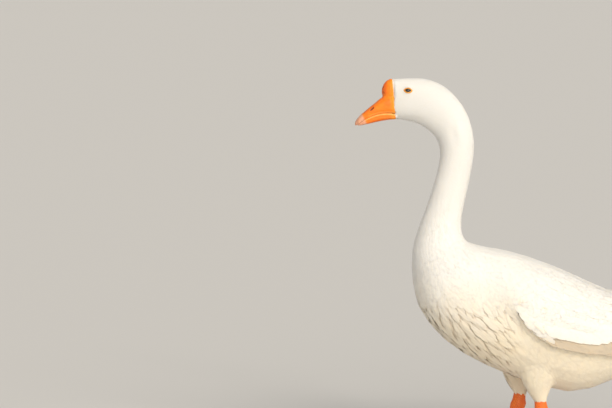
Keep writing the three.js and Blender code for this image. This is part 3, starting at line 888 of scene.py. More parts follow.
def make_upper_bill(outer):
    """The upper half of the bill with the knob, the nostrils, the nail and the lip."""
    nodes = ["bill_upper", "knob"]
    obj = even_surface("upper_bill_and_knob", nodes, BILL_VOXEL, 9, fillers=[KNOB_ROOT])
    fill_crease(obj)
    co, normal = coordinates(obj.data), normals(obj.data)
    x, y, z = co.T
    lean = NOSTRIL["lean"]
    dx, dz = x - NOSTRIL["x"], z - NOSTRIL["z"]
    lengthways = (dx * math.cos(lean) + dz * math.sin(lean)) / NOSTRIL["long"]
    crosswise = (dz * math.cos(lean) - dx * math.sin(lean)) / NOSTRIL["wide"]
    slit = np.exp(-(lengthways**4) - crosswise**2)
    collar = np.exp(-((lengthways / 1.5) ** 4) - (crosswise / 2.6) ** 2) - slit
    closing = height_on(TOMIUM[::-1], x)
    lip = hump(z, closing + 2.2 * MM, 1.1 * MM) * smooth_step(x, -300 * MM, -290 * MM)
    groove = hump(z, closing + 4.6 * MM, 1.0 * MM) * smooth_step(x, -300 * MM, -288 * MM)
    reach = (np.abs(y) / NAIL_HALF) ** 2.5 + (np.maximum(x - (NAIL_X - 4 * MM), 0) / (4 * MM)) ** 2
    nail = smooth_step(reach, 1.25, 0.85) * (x < NAIL_X + 3 * MM)
    nail_seam = hump(reach, 1.1, 0.22) * (x < NAIL_X + 3 * MM)
    base_folds = smooth_step(x, -262 * MM, -252 * MM) * np.sin(x / MM * 2.1 + 0.35 * np.sin(z / MM * 0.5))
    pores, number = pored(co, 3)
    knob = smooth_step(z, 628 * MM, 640 * MM)
    move = -2.3 * slit + 0.35 * collar + 0.30 * lip - 0.30 * groove + 0.35 * nail - 0.18 * nail_seam - 0.35
    move += 0.10 * base_folds - (0.05 + 0.07 * knob) * pores
    co = co + normal * (move * MM)[:, None]
    co[:, 2] -= 0.9 * MM * smooth_step(z, closing + 2.6 * MM, closing + 0.6 * MM)
    set_coordinates(obj.data, co)
    root_in_face(obj, outer)
    front = knob * smooth_step(x, -260 * MM, -266 * MM)
    gape = hump(z, closing + 0.6 * MM, 1.0 * MM) * smooth_step(x, -266 * MM, -254 * MM)
    # lip is a painted highlight along the closing edge; dark is painted shade in the nostril slits and the
    # gape, with a faint dark line round the nail
    paint(obj.data, pale=pink_tip(x, z), lip=0.35 * lip,
          dark=np.clip(slit * 1.3 + 0.15 * nail_seam + 0.6 * gape, 0, 1),
          red=np.clip(front + 0.35 * hump(z, 604 * MM, 3 * MM), 0, 1), cell=number, pore=pores,
          root=bright_root(x))
    finish_piece(obj, "bill", nodes)


def make_lower_bill(outer):
    """The lower half of the bill, with a raised lip along its edge and a painted highlight on it."""
    obj = even_surface("lower_bill", ["bill_lower"], BILL_VOXEL, 4)
    co, normal = coordinates(obj.data), normals(obj.data)
    x, _, z = co.T
    closing = height_on(TOMIUM[::-1], x)
    lip = hump(z, closing - 1.5 * MM, 0.9 * MM)
    groove = hump(z, closing - 5.4 * MM, 1.0 * MM)
    pores, number = pored(co, 4)
    move = 0.20 * lip - 0.35 * groove - 0.05 * pores - 0.2
    co = co + normal * (move * MM)[:, None]
    tucked = smooth_step(z, closing - 2.2 * MM, closing - 0.4 * MM)
    co[:, 2] += 1.7 * MM * tucked
    co[:, 1] *= 1 - 0.08 * tucked
    set_coordinates(obj.data, co)
    root_in_face(obj, outer)
    # lip is a painted highlight along the closing edge
    paint(obj.data, pale=pink_tip(x, z), lip=lip * smooth_step(x, -312 * MM, -304 * MM),
          dark=np.zeros(len(co)), red=np.full(len(co), 0.25), cell=number, pore=pores, root=bright_root(x))
    finish_piece(obj, "bill", ["bill_lower"])


# ---------- eyes ----------
EYE_SHELL = (7.1 * MM, 7.2 * MM, 4.5 * MM)  # the eyeball's half sizes, shallower than the socket
EYE_OUT = 0.8 * MM  # how far the eyeball sits out from the socket's middle
LID_GAP = 0.35 * MM  # from the eyeball to the lids' outer face
CHEEK_LID = 1.1 * MM  # how far the lids stand above the skin of the cheek
EYE_SHIFT = Vector((-1.1, 0, 1.8)) * MM  # from the socket's middle to the pupil's
EYE_OPENING = (5.3 * MM, 3.0 * MM)  # half its length and half its height
EYE_RING = (8.4 * MM, 5.1 * MM)  # the bare ring of skin round it
EYE_LEAN = math.radians(-4)
RING_DROOP = 0.5 * MM  # the ring is wider below the eye than above it
LID_SIDES = 56
LID_RINGS = 9


def eye_place(side_name):
    """The eye's middle."""
    return box_middle(f"eye_{side_name}") + EYE_SHIFT


def make_eyeball(side_name):
    """A flattened ball with its cornea standing out, painted with the way from the pupil in millimetres."""
    centre = eye_place(side_name)
    side = SIDES[side_name]
    radius = EYE_SHELL[1]
    bm = bmesh.new()
    bmesh.ops.create_uvsphere(bm, u_segments=56, v_segments=36, radius=radius)
    bmesh.ops.rotate(bm, verts=bm.verts, matrix=Matrix.Rotation(math.radians(-90 * side), 3, "X"))
    pole = np.array([v.co.y * side for v in bm.verts]) / radius
    cornea = smooth_step(pole, math.cos(math.radians(44)), 1) * 0.5 * MM
    for vert, out in zip(bm.verts, cornea):
        vert.co *= 1 + out / radius
    bmesh.ops.scale(bm, verts=bm.verts, vec=(EYE_SHELL[0] / radius, 1, EYE_SHELL[2] / radius))
    bmesh.ops.translate(bm, verts=bm.verts, vec=(centre.x, centre.y + side * EYE_OUT, centre.z))
    obj = object_from(f"eyeball_{side_name}", bm)
    paint(obj.data, out=np.sqrt(np.clip(1 - pole**2, 0, 1)) * radius / MM * np.where(pole > 0, 1, 2))
    finish_piece(obj, "eye", [f"eye_{side_name}"])


def almond(angle, half, droop=0.0):
    """A point of the eye's outline: an oval drawn out to a corner at the front and the back."""
    x = half[0] * math.cos(angle)
    z = half[1] * math.copysign(abs(math.sin(angle)) ** 1.4, math.sin(angle)) - droop
    return x * math.cos(EYE_LEAN) - z * math.sin(EYE_LEAN), x * math.sin(EYE_LEAN) + z * math.cos(EYE_LEAN)


def make_lids(side_name, skin_surface):
    """The bare orange lids: rings from the opening's rim over the eyeball and out onto the cheek."""
    centre = eye_place(side_name)
    side = SIDES[side_name]
    shell = [size + LID_GAP for size in EYE_SHELL]
    bm = bmesh.new()
    ring = bmesh.ops.create_circle(bm, segments=LID_SIDES, radius=1)["verts"]
    angles = [math.atan2(v.co.y, v.co.x) for v in ring]
    rings = [ring]
    for _ in range(LID_RINGS):
        edges = [e for e in bm.edges if e.verts[0] in rings[-1] and e.verts[1] in rings[-1]]
        made = bmesh.ops.extrude_edge_only(bm, edges=edges)["geom"]
        new = [g for g in made if isinstance(g, bmesh.types.BMVert)]
        rings.append([min(new, key=lambda v, o=old: (v.co - o.co).length) for old in rings[-1]])
        for vert in rings[-1]:
            vert.co *= 1.1
    for k, ring in enumerate(rings):
        share = k / LID_RINGS
        for vert, angle in zip(ring, angles):
            inner = almond(angle, EYE_OPENING)
            outer = almond(angle, EYE_RING, RING_DROOP)
            dx, dz = (a + (b - a) * share for a, b in zip(inner, outer))
            bulge = 1 - (dx / shell[0]) ** 2 - (dz / shell[2]) ** 2
            over_ball = EYE_OUT + shell[1] * math.sqrt(max(bulge, 0))
            x, z = centre.x + dx, centre.z + dz
            hit = skin_surface.bvh.ray_cast((x, side * 0.1, z), (0, -side, 0))[0]
            cheek = abs(hit.y) - abs(centre.y) + CHEEK_LID * (1 - share**3)
            high = max(over_ball, cheek) + 0.35 * MM * math.exp(-(((over_ball - cheek) / (1.2 * MM)) ** 2))
            high += (cheek - 0.4 * MM - high) * smooth_step(share, 0.6, 1)
            crease = 0.14 * MM * math.sin(share * 3.5 * math.pi) * (share > 0.15)
            rim = 0.15 * MM * (k == 1) - 0.35 * MM * (k == 0)
            vert.co = (x, side * (abs(centre.y) + high + crease + rim), z)
    bmesh.ops.recalc_face_normals(bm, faces=bm.faces)
    if sum(f.normal.y * side for f in bm.faces) < 0:
        bmesh.ops.reverse_faces(bm, faces=bm.faces)
    bmesh.ops.solidify(bm, geom=bm.faces[:], thickness=0.5 * MM)
    obj = object_from(f"lids_{side_name}", bm)
    soften = obj.modifiers.new("soften", "SUBSURF")
    soften.levels = soften.render_levels = 1
    finish_piece(obj, "lids", [f"eye_{side_name}"])


def from_eye(co):
    """How far a place is from the nearest eye: 1 on the outer edge of its bare ring."""
    centre = eye_place("left")
    dx, dz = co[..., 0] - centre.x, co[..., 2] - centre.z + RING_DROOP
    lengthways = dx * math.cos(EYE_LEAN) + dz * math.sin(EYE_LEAN)
    crosswise = dz * math.cos(EYE_LEAN) - dx * math.sin(EYE_LEAN)
    return np.hypot(lengthways / EYE_RING[0], crosswise / EYE_RING[1])


# ---------- legs ----------
CLAW_REACH = 4.5 * MM  # from a claw's root to its middle
MIDDLE_TOE, HIND_TOE = 76 * MM, 17 * MM  # from the toe joint to the claw's root


def flat(vector):
    """The vector as seen from above."""
    return np.array([vector.x, vector.y])


def box_middle(node):
    """The middle of a CAD node."""
    low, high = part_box(node)
    return (low + high) / 2


def make_leg(side_name):
    """The bare shank and the webbed foot, with scales all over and bands across the top of each toe."""
    nodes = [f"shank_{side_name}", f"foot_{side_name}"]
    obj = even_surface(f"leg_{side_name}", nodes, LEG_VOXEL, 4, swell=0.25 * MM)
    co, normal = coordinates(obj.data), normals(obj.data)
    x, y, z = co.T
    claws = {toe: flat(box_middle(f"claw_{side_name}_{toe}")) for toe in TOES}
    share = (HIND_TOE + CLAW_REACH) / (HIND_TOE + MIDDLE_TOE + 2 * CLAW_REACH)
    joint = claws["hind"] + (claws["middle"] - claws["hind"]) * share
    plan = co[:, :2] - joint
    bands, on_toe = np.zeros(len(co)), np.zeros(len(co))
    for toe in TOES:
        way = claws[toe] - joint
        reach = np.linalg.norm(way)
        way = way / reach
        along_toe = plan @ way
        aside = np.abs(plan @ np.array([-way[1], way[0]]))
        near = smooth_step(aside, 5.5 * MM, 3.5 * MM) * (along_toe > 6 * MM) * (along_toe < reach)
        bands = np.where(near > on_toe, np.sin(2 * math.pi * along_toe / (3.1 * MM)), bands)
        on_toe = np.maximum(on_toe, near)
    top = smooth_step(normal[:, 2], -0.1, 0.5)
    shank = smooth_step(z, 13 * MM, 22 * MM)
    on_toe = on_toe * (1 - shank) * top
    web = (1 - on_toe) * (1 - shank)
    ahead = smooth_step(-normal[:, 0], -0.1, 0.7) * shank
    spacing = (2.0 + 1.5 * ahead - 0.3 * web) * MM
    inside, number = cells(co * np.array([1, 1, 0.8]), spacing, 5)
    seam = smooth_step(inside, 0.55 * MM, 0.05 * MM)
    lift = 0.22 * (1 - seam) * (1 - on_toe) * (1 - 0.55 * web) + 0.30 * on_toe * np.abs(bands) ** 0.5
    under = smooth_step(z, 1.2 * MM, 2.2 * MM)
    set_coordinates(obj.data, co + normal * (lift * under * MM - 0.25 * MM)[:, None])
    trim_sole(obj)
    band_seam = smooth_step(np.abs(bands), 0.35, 0.0) * on_toe
    paint(obj.data, seam=np.clip(seam * (1 - on_toe) + band_seam, 0, 1), cell=number, web=web,
          low=smooth_step(z, 20 * MM, 3 * MM))
    finish_piece(obj, "leg", nodes)


def trim_sole(obj):
    """Keeps the sole level with the floor."""
    co = coordinates(obj.data)
    co[:, 2] = np.maximum(co[:, 2], 0)
    set_coordinates(obj.data, co)


def make_claw(side_name, toe):
    """A claw, painted from its root to its tip."""
    node = f"claw_{side_name}_{toe}"
    obj = even_surface(f"horn_{side_name}_{toe}", [node], 0.45 * MM, 3, swell=0.1 * MM)
    trim_sole(obj)
    middle = box_middle(node)
    leg = box_middle(f"foot_{side_name}")
    co = coordinates(obj.data)
    way = flat(middle) - flat(leg)
    paint(obj.data, tip=((co[:, :2] - flat(middle)) @ (way / np.linalg.norm(way))) / (4 * MM))
    finish_piece(obj, "claw", [node])


# ---------- feathers ----------
def vane_shape(columns, rows):
    """One flat feather: -1 to 1 across, 0 to 1 along, with an upper and a lower sheet joined at the rim.
    Gives each vertex as [across, along, sheet] and the triangles, which run the other way round because a
    vane is laid mirrored on its line."""
    bm = bmesh.new()
    bmesh.ops.create_grid(bm, x_segments=columns, y_segments=rows, size=1)
    copy = bmesh.ops.duplicate(bm, geom=bm.verts[:] + bm.edges[:] + bm.faces[:])["geom"]
    under = {g for g in copy if isinstance(g, bmesh.types.BMVert)}
    bmesh.ops.reverse_faces(bm, faces=[g for g in copy if isinstance(g, bmesh.types.BMFace)])
    for vert in bm.verts:
        inner = max(abs(vert.co.x), abs(vert.co.y)) < 0.999
        vert.co.z = (-1 if vert in under else 1) * inner
    bmesh.ops.remove_doubles(bm, verts=bm.verts, dist=1e-4)
    bmesh.ops.triangulate(bm, faces=bm.faces[:])
    same_corners = {}
    for face in bm.faces:
        same_corners.setdefault(frozenset(face.verts), []).append(face)
    flaps = [face for faces in same_corners.values() if len(faces) > 1 for face in faces]
    bmesh.ops.delete(bm, geom=flaps, context="FACES")
    bm.verts.index_update()
    place = np.array([tuple(v.co) for v in bm.verts])
    triangles = np.array([[v.index for v in reversed(f.verts)] for f in bm.faces])
    bm.free()
    place[:, 1] = (place[:, 1] + 1) / 2
    return place, triangles


FINE, MIDDLING, SLIM, SMALL = vane_shape(6, 6), vane_shape(4, 5), vane_shape(3, 4), vane_shape(2, 3)


CUFF_TOP = 112 * MM  # below this the thighs' feathers hang straight down over the legs
CUFF_ROOTS = 107 * MM  # the lowest feathers that do so
CUFF_TURN = -0.45  # from where the skin turns in under them


def lay(surface, roots, faces, length, turn=0.0, steps=5, backwards=False):
    """The line that each feather follows over the surface from its root, and the surface's normals there.
    It goes straight on where the surface ends or turns away under it. turn is the angle by which it strays
    from the lie of the coat."""
    turn = np.broadcast_to(turn, len(roots))[:, None]
    stride = (length / steps)[:, None]
    place, line, ups = roots, [], []
    weights = surface.shares(place, faces)
    up = unit(surface.at(surface.normal, faces, weights))
    for _ in range(steps + 1):
        line.append(place)
        ups.append(up)
        way = surface.at(surface.flow, faces, weights) * (-1 if backwards else 1)
        way = way * np.cos(turn) + np.cross(up, way) * np.sin(turn)
        way = np.where(place[:, 2:] < CUFF_TOP, 0.3 * way - np.array([0, 0, 0.7]), way)
        ahead = place + unit(way - up * dot(way, up)) * stride
        onto, new_faces, new_weights = surface.nearest(ahead)
        new_up = unit(surface.at(surface.normal, new_faces, new_weights))
        off = (np.linalg.norm(onto - ahead, axis=1) > 0.5 * stride[:, 0]) | (dot(new_up, up)[:, 0] < 0.5)
        off |= (new_up[:, 2] < CUFF_TURN) & (onto[:, 2] < CUFF_TOP)
        place = np.where(off[:, None], ahead, onto)
        up = np.where(off[:, None], up, new_up)
        faces = np.where(off, faces, new_faces)
        weights = np.where(off[:, None], weights, new_weights)
    line, ups = np.stack(line, 1), np.stack(ups, 1)
    return (line[:, ::-1], ups[:, ::-1]) if backwards else (line, ups)


def along(rows, share):
    """Values between the rows of each feather's line, at a share of its length for each vertex."""
    last = rows.shape[1] - 1
    at = np.clip(share * last, 0, last - 1e-6)
    low = at.astype(int)
    part = (at - low)[:, :, None]
    pick = np.arange(len(rows))[:, None]
    return rows[pick, low] * (1 - part) + rows[pick, low + 1] * part


PATCH = 0.003  # the size of one feather's patch on the map that its colour is kept on
ROOT_WIDTH = 0.35  # a vane's width at its root, as a share of its full width
LONGEST_TIP = 0.6  # and the most of its length that its round tip takes
SHARP_EDGE = math.radians(70)


def tones(random, count, on_wing=1.0, painted_shade=0.0):
    """The look of each of a row of feathers: its own tint, whether it is on the wing, and how much painted
    shade it takes.
    """
    return np.stack([random.random(count), np.full(count, on_wing), np.full(count, painted_shade)], 1)


class Plumage:
    """Joins feathers into pieces, each feather with its place on the skin's colour map."""

    def __init__(self, skin_surface):
        self.skin = skin_surface

    def patch(self, roots):
        """Where each root lies on the skin's map."""
        _, faces, weights = self.skin.nearest(roots)
        return (self.skin.uv[faces] * weights[:, :, None]).sum(1)

    def join(self, name, shape, line, ups, length, width, *, rise, tone, seed=0, thick=0.35 * MM, blunt=0.35,
             narrow=0.1, camber=0.08, skew=0.0, tilt=0.0, ease=2.2, tip_lift=0.0, fringe=0.06):
        """Joins one copy of the vane for each line. rise is its height above the surface at root and tip, and
        ease says how soon it has risen. tone is each feather's look, as tones() gives it. blunt is the length
        of the round tip, camber how far both edges hang down and skew how far the shaft is off the middle, as
        shares of the width. narrow is how much narrower the vane gets, tilt its slope from edge to edge,
        tip_lift how far the tip curls up, and fringe how far it is frayed, as a share of the length."""
        random = np.random.default_rng(seed)
        n = len(line)
        place, triangles = shape
        across, share, sheet = (place[None, :, k] for k in range(3))

        def col(values):
            """One row for each feather."""
            return np.broadcast_to(np.asarray(values, float), n)[:, None]

        length, width, rise = col(length), col(width), [col(r) for r in rise]
        columns = np.unique(place[:, 0])
        frays = random.uniform(0, 1, (n, len(columns))) * fringe
        fray = frays[:, np.searchsorted(columns, place[:, 0] - 1e-6)]
        round_part = np.minimum(blunt * width / length, LONGEST_TIP)
        tip = 1 - round_part * (1 - np.sqrt(1 - across**2 * 0.97)) - fray
        v = share * tip
        spread = ROOT_WIDTH + (1 - ROOT_WIDTH) * smooth_step(v, 0, 0.42)
        half = width / 2 * spread * (1 - narrow * smooth_step(v, 0.5, 1.0))
        low, high = rise
        height = low + (high - low) * (1 - (1 - v) ** ease) + tip_lift * smooth_step(v, 0.45, 1)
        sag = camber * width * across**2 * smooth_step(v, 0, 0.5)
        body = sheet * thick / 2 * (1 - 0.5 * across**2) * (1 - 0.65 * v)
        points, up = along(line, v), unit(along(ups, v))
        tangent = unit(along(np.gradient(line, axis=1), v))
        aside = np.cross(up, tangent)
        points = points + aside * (half * (across + skew))[:, :, None]
        points = points + up * (height - sag + body + tilt * half * across)[:, :, None]

        mesh = bpy.data.meshes.new(name)
        m = place.shape[0]
        faces = (triangles[None] + np.arange(n)[:, None, None] * m).reshape(-1)
        mesh.vertices.add(n * m)
        set_coordinates(mesh, points)
        mesh.loops.add(len(faces))
        mesh.loops.foreach_set("vertex_index", faces.astype(np.int32))
        mesh.polygons.add(len(faces) // 3)
        mesh.polygons.foreach_set("loop_start", np.arange(0, len(faces), 3, dtype=np.int32))
        mesh.update(calc_edges=True)
        mesh.shade_smooth()
        mesh.set_sharp_from_angle(angle=SHARP_EDGE)

        root_uv = self.patch(line[:, 0])
        patch = np.stack(np.broadcast_arrays(across / 2, share - 0.5), 2) * PATCH + root_uv[:, None]
        vane = np.stack([across * half, v * length], 2) / (10 * MM)
        for layer, uv in (("OFBake", patch), ("Vane", vane)):
            data = mesh.uv_layers.new(name=layer).data
            data.foreach_set("uv", uv.reshape(-1, 2)[faces].astype(np.float32).ravel())
        mesh.uv_layers["OFBake"].active_render = True
        feather_tones_and_shade = np.repeat(tone[:, None], m, 1)
        attribute = mesh.attributes.new("feather_tones_and_shade", "FLOAT_VECTOR", "POINT")
        attribute.data.foreach_set("vector", feather_tones_and_shade.astype(np.float32).ravel())
        finish_piece(new_object(name, mesh), "plumage", FLESH)


# How the body's feathers grow with the way from the bill: [way, length, width, spacing]
GROWTH = np.array([[0, 3.0, 1.7, 0.90], [20, 4.4, 2.2, 1.05], [60, 6.5, 2.9, 1.35], [110, 10, 3.8, 1.75],
                   [200, 15, 5.0, 2.3], [290, 21, 7.5, 3.3], [360, 25, 9.5, 4.1], [450, 29, 11.5, 4.8],
                   [900, 31, 13, 5.3]]) * MM
THIGH_GROWTH = np.array([13, 5.0, 2.4]) * MM
LOCK_GROWTH = np.array([19, 5.5, 2.9]) * MM  # on the lower breast, where the plumage parts into locks
LOCK_WAY = unit(np.array([0.62, 0, -0.78]))
LOCK_WIDTH = 6.5 * MM
LOCK_STRETCH = 4.5  # how many times longer than wide a lock is
GAP_SIDES = (2.1 * MM, 0.4 * MM)  # from a gap's middle to where it begins and where it is deepest


def in_locks(co):
    """1 on the lower breast, where the plumage parts into locks, and 0 elsewhere."""
    x, _, z = co.T
    return smooth_step(z, 305 * MM, 262 * MM) * smooth_step(x, -28 * MM, -62 * MM) * (z > 100 * MM)


def locks(co):
    """How far each place is into a gap between two locks, and its lock's own number."""
    along_way = co @ LOCK_WAY
    squeezed = co - along_way[:, None] * LOCK_WAY * (1 - 1 / LOCK_STRETCH)
    inside, number = cells(squeezed, np.full(len(co), LOCK_WIDTH), 11)
    share = in_locks(co)
    return share * smooth_step(inside, *GAP_SIDES), (number - 0.5) * share


def growth_at(co, way):
    """Length, width and spacing of the feathers at places on the skin."""
    grown = np.stack([np.interp(way, GROWTH[:, 0], GROWTH[:, k]) for k in (1, 2, 3)], 1)
    thigh = smooth_step(co[:, 2], 0.165, 0.125)[:, None] * (np.abs(co[:, 0]) < 0.075)[:, None]
    grown = grown * (1 - thigh) + THIGH_GROWTH * thigh
    lock = in_locks(co)[:, None]
    grown = grown * (1 - lock) + LOCK_GROWTH * lock
    below_back = height_on(BACK_LINE, co[:, 0]) - co[:, 2]
    scapular = smooth_step(co[:, 0], -70 * MM, 0) * smooth_step(below_back, 75 * MM, 35 * MM)
    by_eye = smooth_step(from_eye(co), 2.6, 1.2)
    return grown * (1 + 0.5 * scapular - 0.35 * by_eye)[:, None]


def sow(surface, random):
    """Roots of the body's feathers, spread evenly at their own spacing: place, triangle and growth."""
    tri = surface.co[surface.tri]
    area = np.linalg.norm(np.cross(tri[:, 1] - tri[:, 0], tri[:, 2] - tri[:, 0]), axis=1) / 2
    middle = tri.mean(1)
    third = np.full((len(tri), 3), 1 / 3)
    every = np.arange(len(tri))
    way = surface.at(surface.way[:, None], every, third)[:, 0]
    spacing = growth_at(middle, way)[:, 2]
    share = area / spacing**2
    count = int(share.sum() * 5)
    faces = random.choice(len(tri), count, p=share / share.sum())
    r1, r2 = np.sqrt(random.random(count)), random.random(count)
    weights = np.stack([1 - r1, r1 * (1 - r2), r1 * r2], 1)
    place = (tri[faces] * weights[:, :, None]).sum(1)
    near = spacing[faces]
    tree = KDTree(count)
    for i, p in enumerate(place.tolist()):
        tree.insert(p, i)
    tree.balance()
    free = np.ones(count, bool)
    kept = []
    for i, (p, r) in enumerate(zip(place.tolist(), near.tolist())):
        if not free[i]:
            continue
        kept.append(i)
        for _, j, _ in tree.find_range(p, r):
            free[j] = False
    kept = np.array(kept)
    return place[kept], faces[kept], weights[kept]


# ---------- the small feathers ----------
COAT_FILLED = 0.9  # how high the tips lie in the plumage's depth
HEAD_END, NECK_END = 110 * MM, 330 * MM  # the way from the bill to the end of the head's and neck's coat
LOCK_DEPTH = 2.2 * MM  # how deep the gaps between the breast's locks are
GAP_PAINTED_SHADE = 0.45  # how much painted shade the feathers in those gaps are given
LOCK_TURN = math.radians(20)  # by how much the locks' feathers lean apart
OVER_BILL = 0.5 * MM  # how far the first tufts reach over the bill's edge
BARE_RING = 1.01  # no tuft grows nearer to an eye than this, its bare ring being 1
TUFTS_REACH = 0.95  # and none reaches further in
SHORTEST = 0.3  # how much of a tuft is left where it would run over an eye
MOST_TRIANGLES = 190000  # in one piece


def clear_of_eyes(line):
    """The share of each line that is clear of the eyes' bare rings."""
    inside = from_eye(line) < TUFTS_REACH
    first = np.where(inside.any(1), inside.argmax(1) - 0.3, line.shape[1] - 1)
    return first / (line.shape[1] - 1)


def over_the_bill(line, way):
    """Brings the first tufts forwards over the bill's edge."""
    forward = OVER_BILL * smooth_step(way, 3.5 * MM, 0)[:, None, None]
    tangent = unit(line[:, 1] - line[:, 0])[:, None]
    return line - tangent * forward


def make_coat(skin_surface):
    """The small feathers of the head, the neck and the body."""
    plumage = Plumage(skin_surface)
    random = np.random.default_rng(7)
    place, faces, weights = sow(skin_surface, random)

    def here(values):
        """The skin's values at the feathers' roots."""
        return skin_surface.at(values[:, None], faces, weights)[:, 0]

    way, on_wing, depth = here(skin_surface.way), here(skin_surface.on_wing), here(skin_surface.depth)
    x, y, z = place.T
    under_rows = (x > ROWS_START_X) & (z < height_on(GREATER_TIPS, x) + LESSER_RISE) | (x > SCAPULARS_END_X)
    under_rows &= np.abs(y) > RUMP_HALF
    bare = (on_wing > 0.5) & under_rows | (way < 0) | (way < HEAD_END) & (from_eye(place) < BARE_RING)
    bare |= (z < CUFF_ROOTS) | (x > RUMP_END_X)
    keep = np.nonzero(~bare)[0]
    place, faces, way, on_wing, depth = (v[keep] for v in (place, faces, way, on_wing, depth))
    length, width, _ = growth_at(place, way).T
    size = random.normal(1, 0.06, len(place))
    length, width = length * size, width * size
    turn = random.normal(0, 4 * DEGREE, len(place))
    tint = random.random(len(place))
    strays = random.normal(0, 12 * MM, len(place))
    head, neck = way + strays < HEAD_END, way + strays < NECK_END
    gap, lock = locks(place)
    turn += lock * LOCK_TURN
    tips = COAT_FILLED * depth - gap * np.minimum(LOCK_DEPTH, 0.75 * depth)
    # how each part's feathers are formed: shape, steps, the tip's height above the root, thickness and fringe
    parts = {
        "head": (head, SMALL, 3, 0.13 * MM, 0.05 * MM, 0.02),
        "neck": (neck & ~head, SLIM, 4, 0.25 * MM, 0.07 * MM, 0.05),
        "body": (~neck, MIDDLING, 5, 0.60 * MM, 0.10 * MM, 0.08),
    }
    for name, (chosen, shape, steps, climb, thick, fringe) in parts.items():
        pick = np.nonzero(chosen)[0]
        line, ups = lay(skin_surface, place[pick], faces[pick], length[pick], turn[pick], steps)
        if name == "head":
            clear = clear_of_eyes(line)
            pick = pick[clear > 0]
            length[pick] *= np.maximum(clear[clear > 0], SHORTEST)
            line, ups = lay(skin_surface, place[pick], faces[pick], length[pick], turn[pick], steps)
            line = over_the_bill(line, way[pick])
        groups = max(1, math.ceil(len(pick) * len(shape[1]) / MOST_TRIANGLES))
        for k in range(groups):
            some, part = pick[k::groups], slice(k, None, groups)
            tip = tips[some] + random.normal(0, 0.06, len(some)) * climb
            # the feathers in the gaps between the breast's locks are given painted shade
            plumage.join(f"feathers_{name}_{k + 1}", shape, line[part], ups[part], length[some], width[some],
                         rise=(tip - climb, tip), ease=1.3, camber=0.03, thick=thick, fringe=fringe, seed=k,
                         tone=np.stack([tint[some], on_wing[some], gap[some] * GAP_PAINTED_SHADE], 1))
    return plumage


# ---------- the wings ----------
# Tips of the wing's rows of long feathers, seen from the side: [x, z] in millimetres.
GREATER_TIPS = np.array([[9, 235], [18, 229], [34, 222], [60, 217], [78, 213], [111, 210], [132, 212],
                         [155, 219], [173, 231], [186, 247]]) * MM
SECONDARY_TIPS = np.array([[16, 214], [45, 203.5], [82, 195.5], [140, 191], [170, 196], [195, 204.5],
                           [216, 218], [230, 232], [238, 244]]) * MM
# The thumb's narrow feathers and the loose ones over the wrist, below and in front of those rows.
ALULA_TIPS = np.array([[18, 209], [27, 202], [37, 196], [47, 192.5]]) * MM
WRIST_TIPS = np.array([[-3, 238], [3, 232], [8, 227], [9, 237], [13, 229]]) * MM
# The middle line of the folded wing behind the flank: [x, y, z] in millimetres.
WING_AXIS = np.array([[70, 58, 236], [120, 52, 238], [170, 39, 243], [215, 27, 252], [255, 18, 260],
                      [284, 13, 265], [295, 11, 267]]) * MM
# The long feathers that lie round that line: x of root and tip, the turn above the level at root and tip in
# degrees, and the tip's height over the wing.
BLADE_UNITS = np.array([MM, MM, DEGREE, DEGREE, MM])
PRIMARIES = np.array([[150, 293, -14, 4, -1.6], [146, 286, -22, -6, -1.3], [142, 277, -30, -16, -1.0],
                      [138, 266, -37, -25, -0.7], [134, 253, -43, -33, -0.4],
                      [130, 239, -48, -40, -0.1]]) * BLADE_UNITS
TERTIALS = np.array([[104, 246, 52, 66, 0.2], [98, 238, 36, 50, 0.6], [92, 228, 22, 34, 1.0],
                     [88, 216, 10, 20, 1.3], [98, 220, 72, 84, 1.2], [90, 202, 56, 68, 1.7]]) * BLADE_UNITS
MEDIAN_RISE = 19 * MM  # from the greater coverts' tips up to the median coverts'
LESSER_RISE = 25 * MM  # and up to where the small coverts take over
SCAPULARS_END_X = 162 * MM
RUMP_HALF = 26 * MM  # nearer the middle the body's feathers go on between the wing tips
RUMP_END_X = 240 * MM  # up to here
ROWS_START_X = 2 * MM  # in front of it the wing is covered by small feathers only


def spaced(line, step):
    """Points at even steps along a line."""
    run = np.concatenate([[0], np.cumsum(np.linalg.norm(np.diff(line, axis=0), axis=1))])
    at = np.arange(0, run[-1] + step / 2, step)
    return np.stack([np.interp(at, run, line[:, k]) for k in range(line.shape[1])], 1)


def on_side(surface, spots, side):
    """Side-view spots brought in from one side onto the surface, or to the nearest place on it."""
    places, faces = [], []
    for x, z in spots.tolist():
        place, _, face, _ = surface.bvh.ray_cast((x, side * 0.3, z), (0, -side, 0))
        if place is None:
            place, _, face, _ = surface.bvh.find_nearest((x, side * 0.03, z))
        places.append(tuple(place))
        faces.append(face)
    return np.array(places), np.array(faces)


def around(hull, x, turn, side):
    """Places on a folded wing and the normals there, at x and at an angle above the level as seen from the
    wing's middle line."""
    places, ups = np.empty((2, *x.shape, 3))
    for at in np.ndindex(x.shape):
        _, y, z = (float(np.interp(x[at], WING_AXIS[:, 0], WING_AXIS[:, k])) for k in range(3))
        out = Vector((0, side * math.cos(turn[at]), math.sin(turn[at])))
        middle = Vector((x[at], side * y, z))
        place, normal, _, _ = hull.bvh.ray_cast(middle + out * 0.12, -out)
        if place is None:
            place, normal = middle, out
        places[at] = place
        ups[at] = (normal + out).normalized()
    return places, ups


def surface_round(node):
    """A CAD node's evened surface, for long feathers to lie on."""
    obj = even_surface("hull", [node], WING_VOXEL, 8, swell=0.3 * MM)
    surface = Surface(obj)
    mesh = obj.data
    bpy.data.objects.remove(obj)
    bpy.data.meshes.remove(mesh)
    return surface


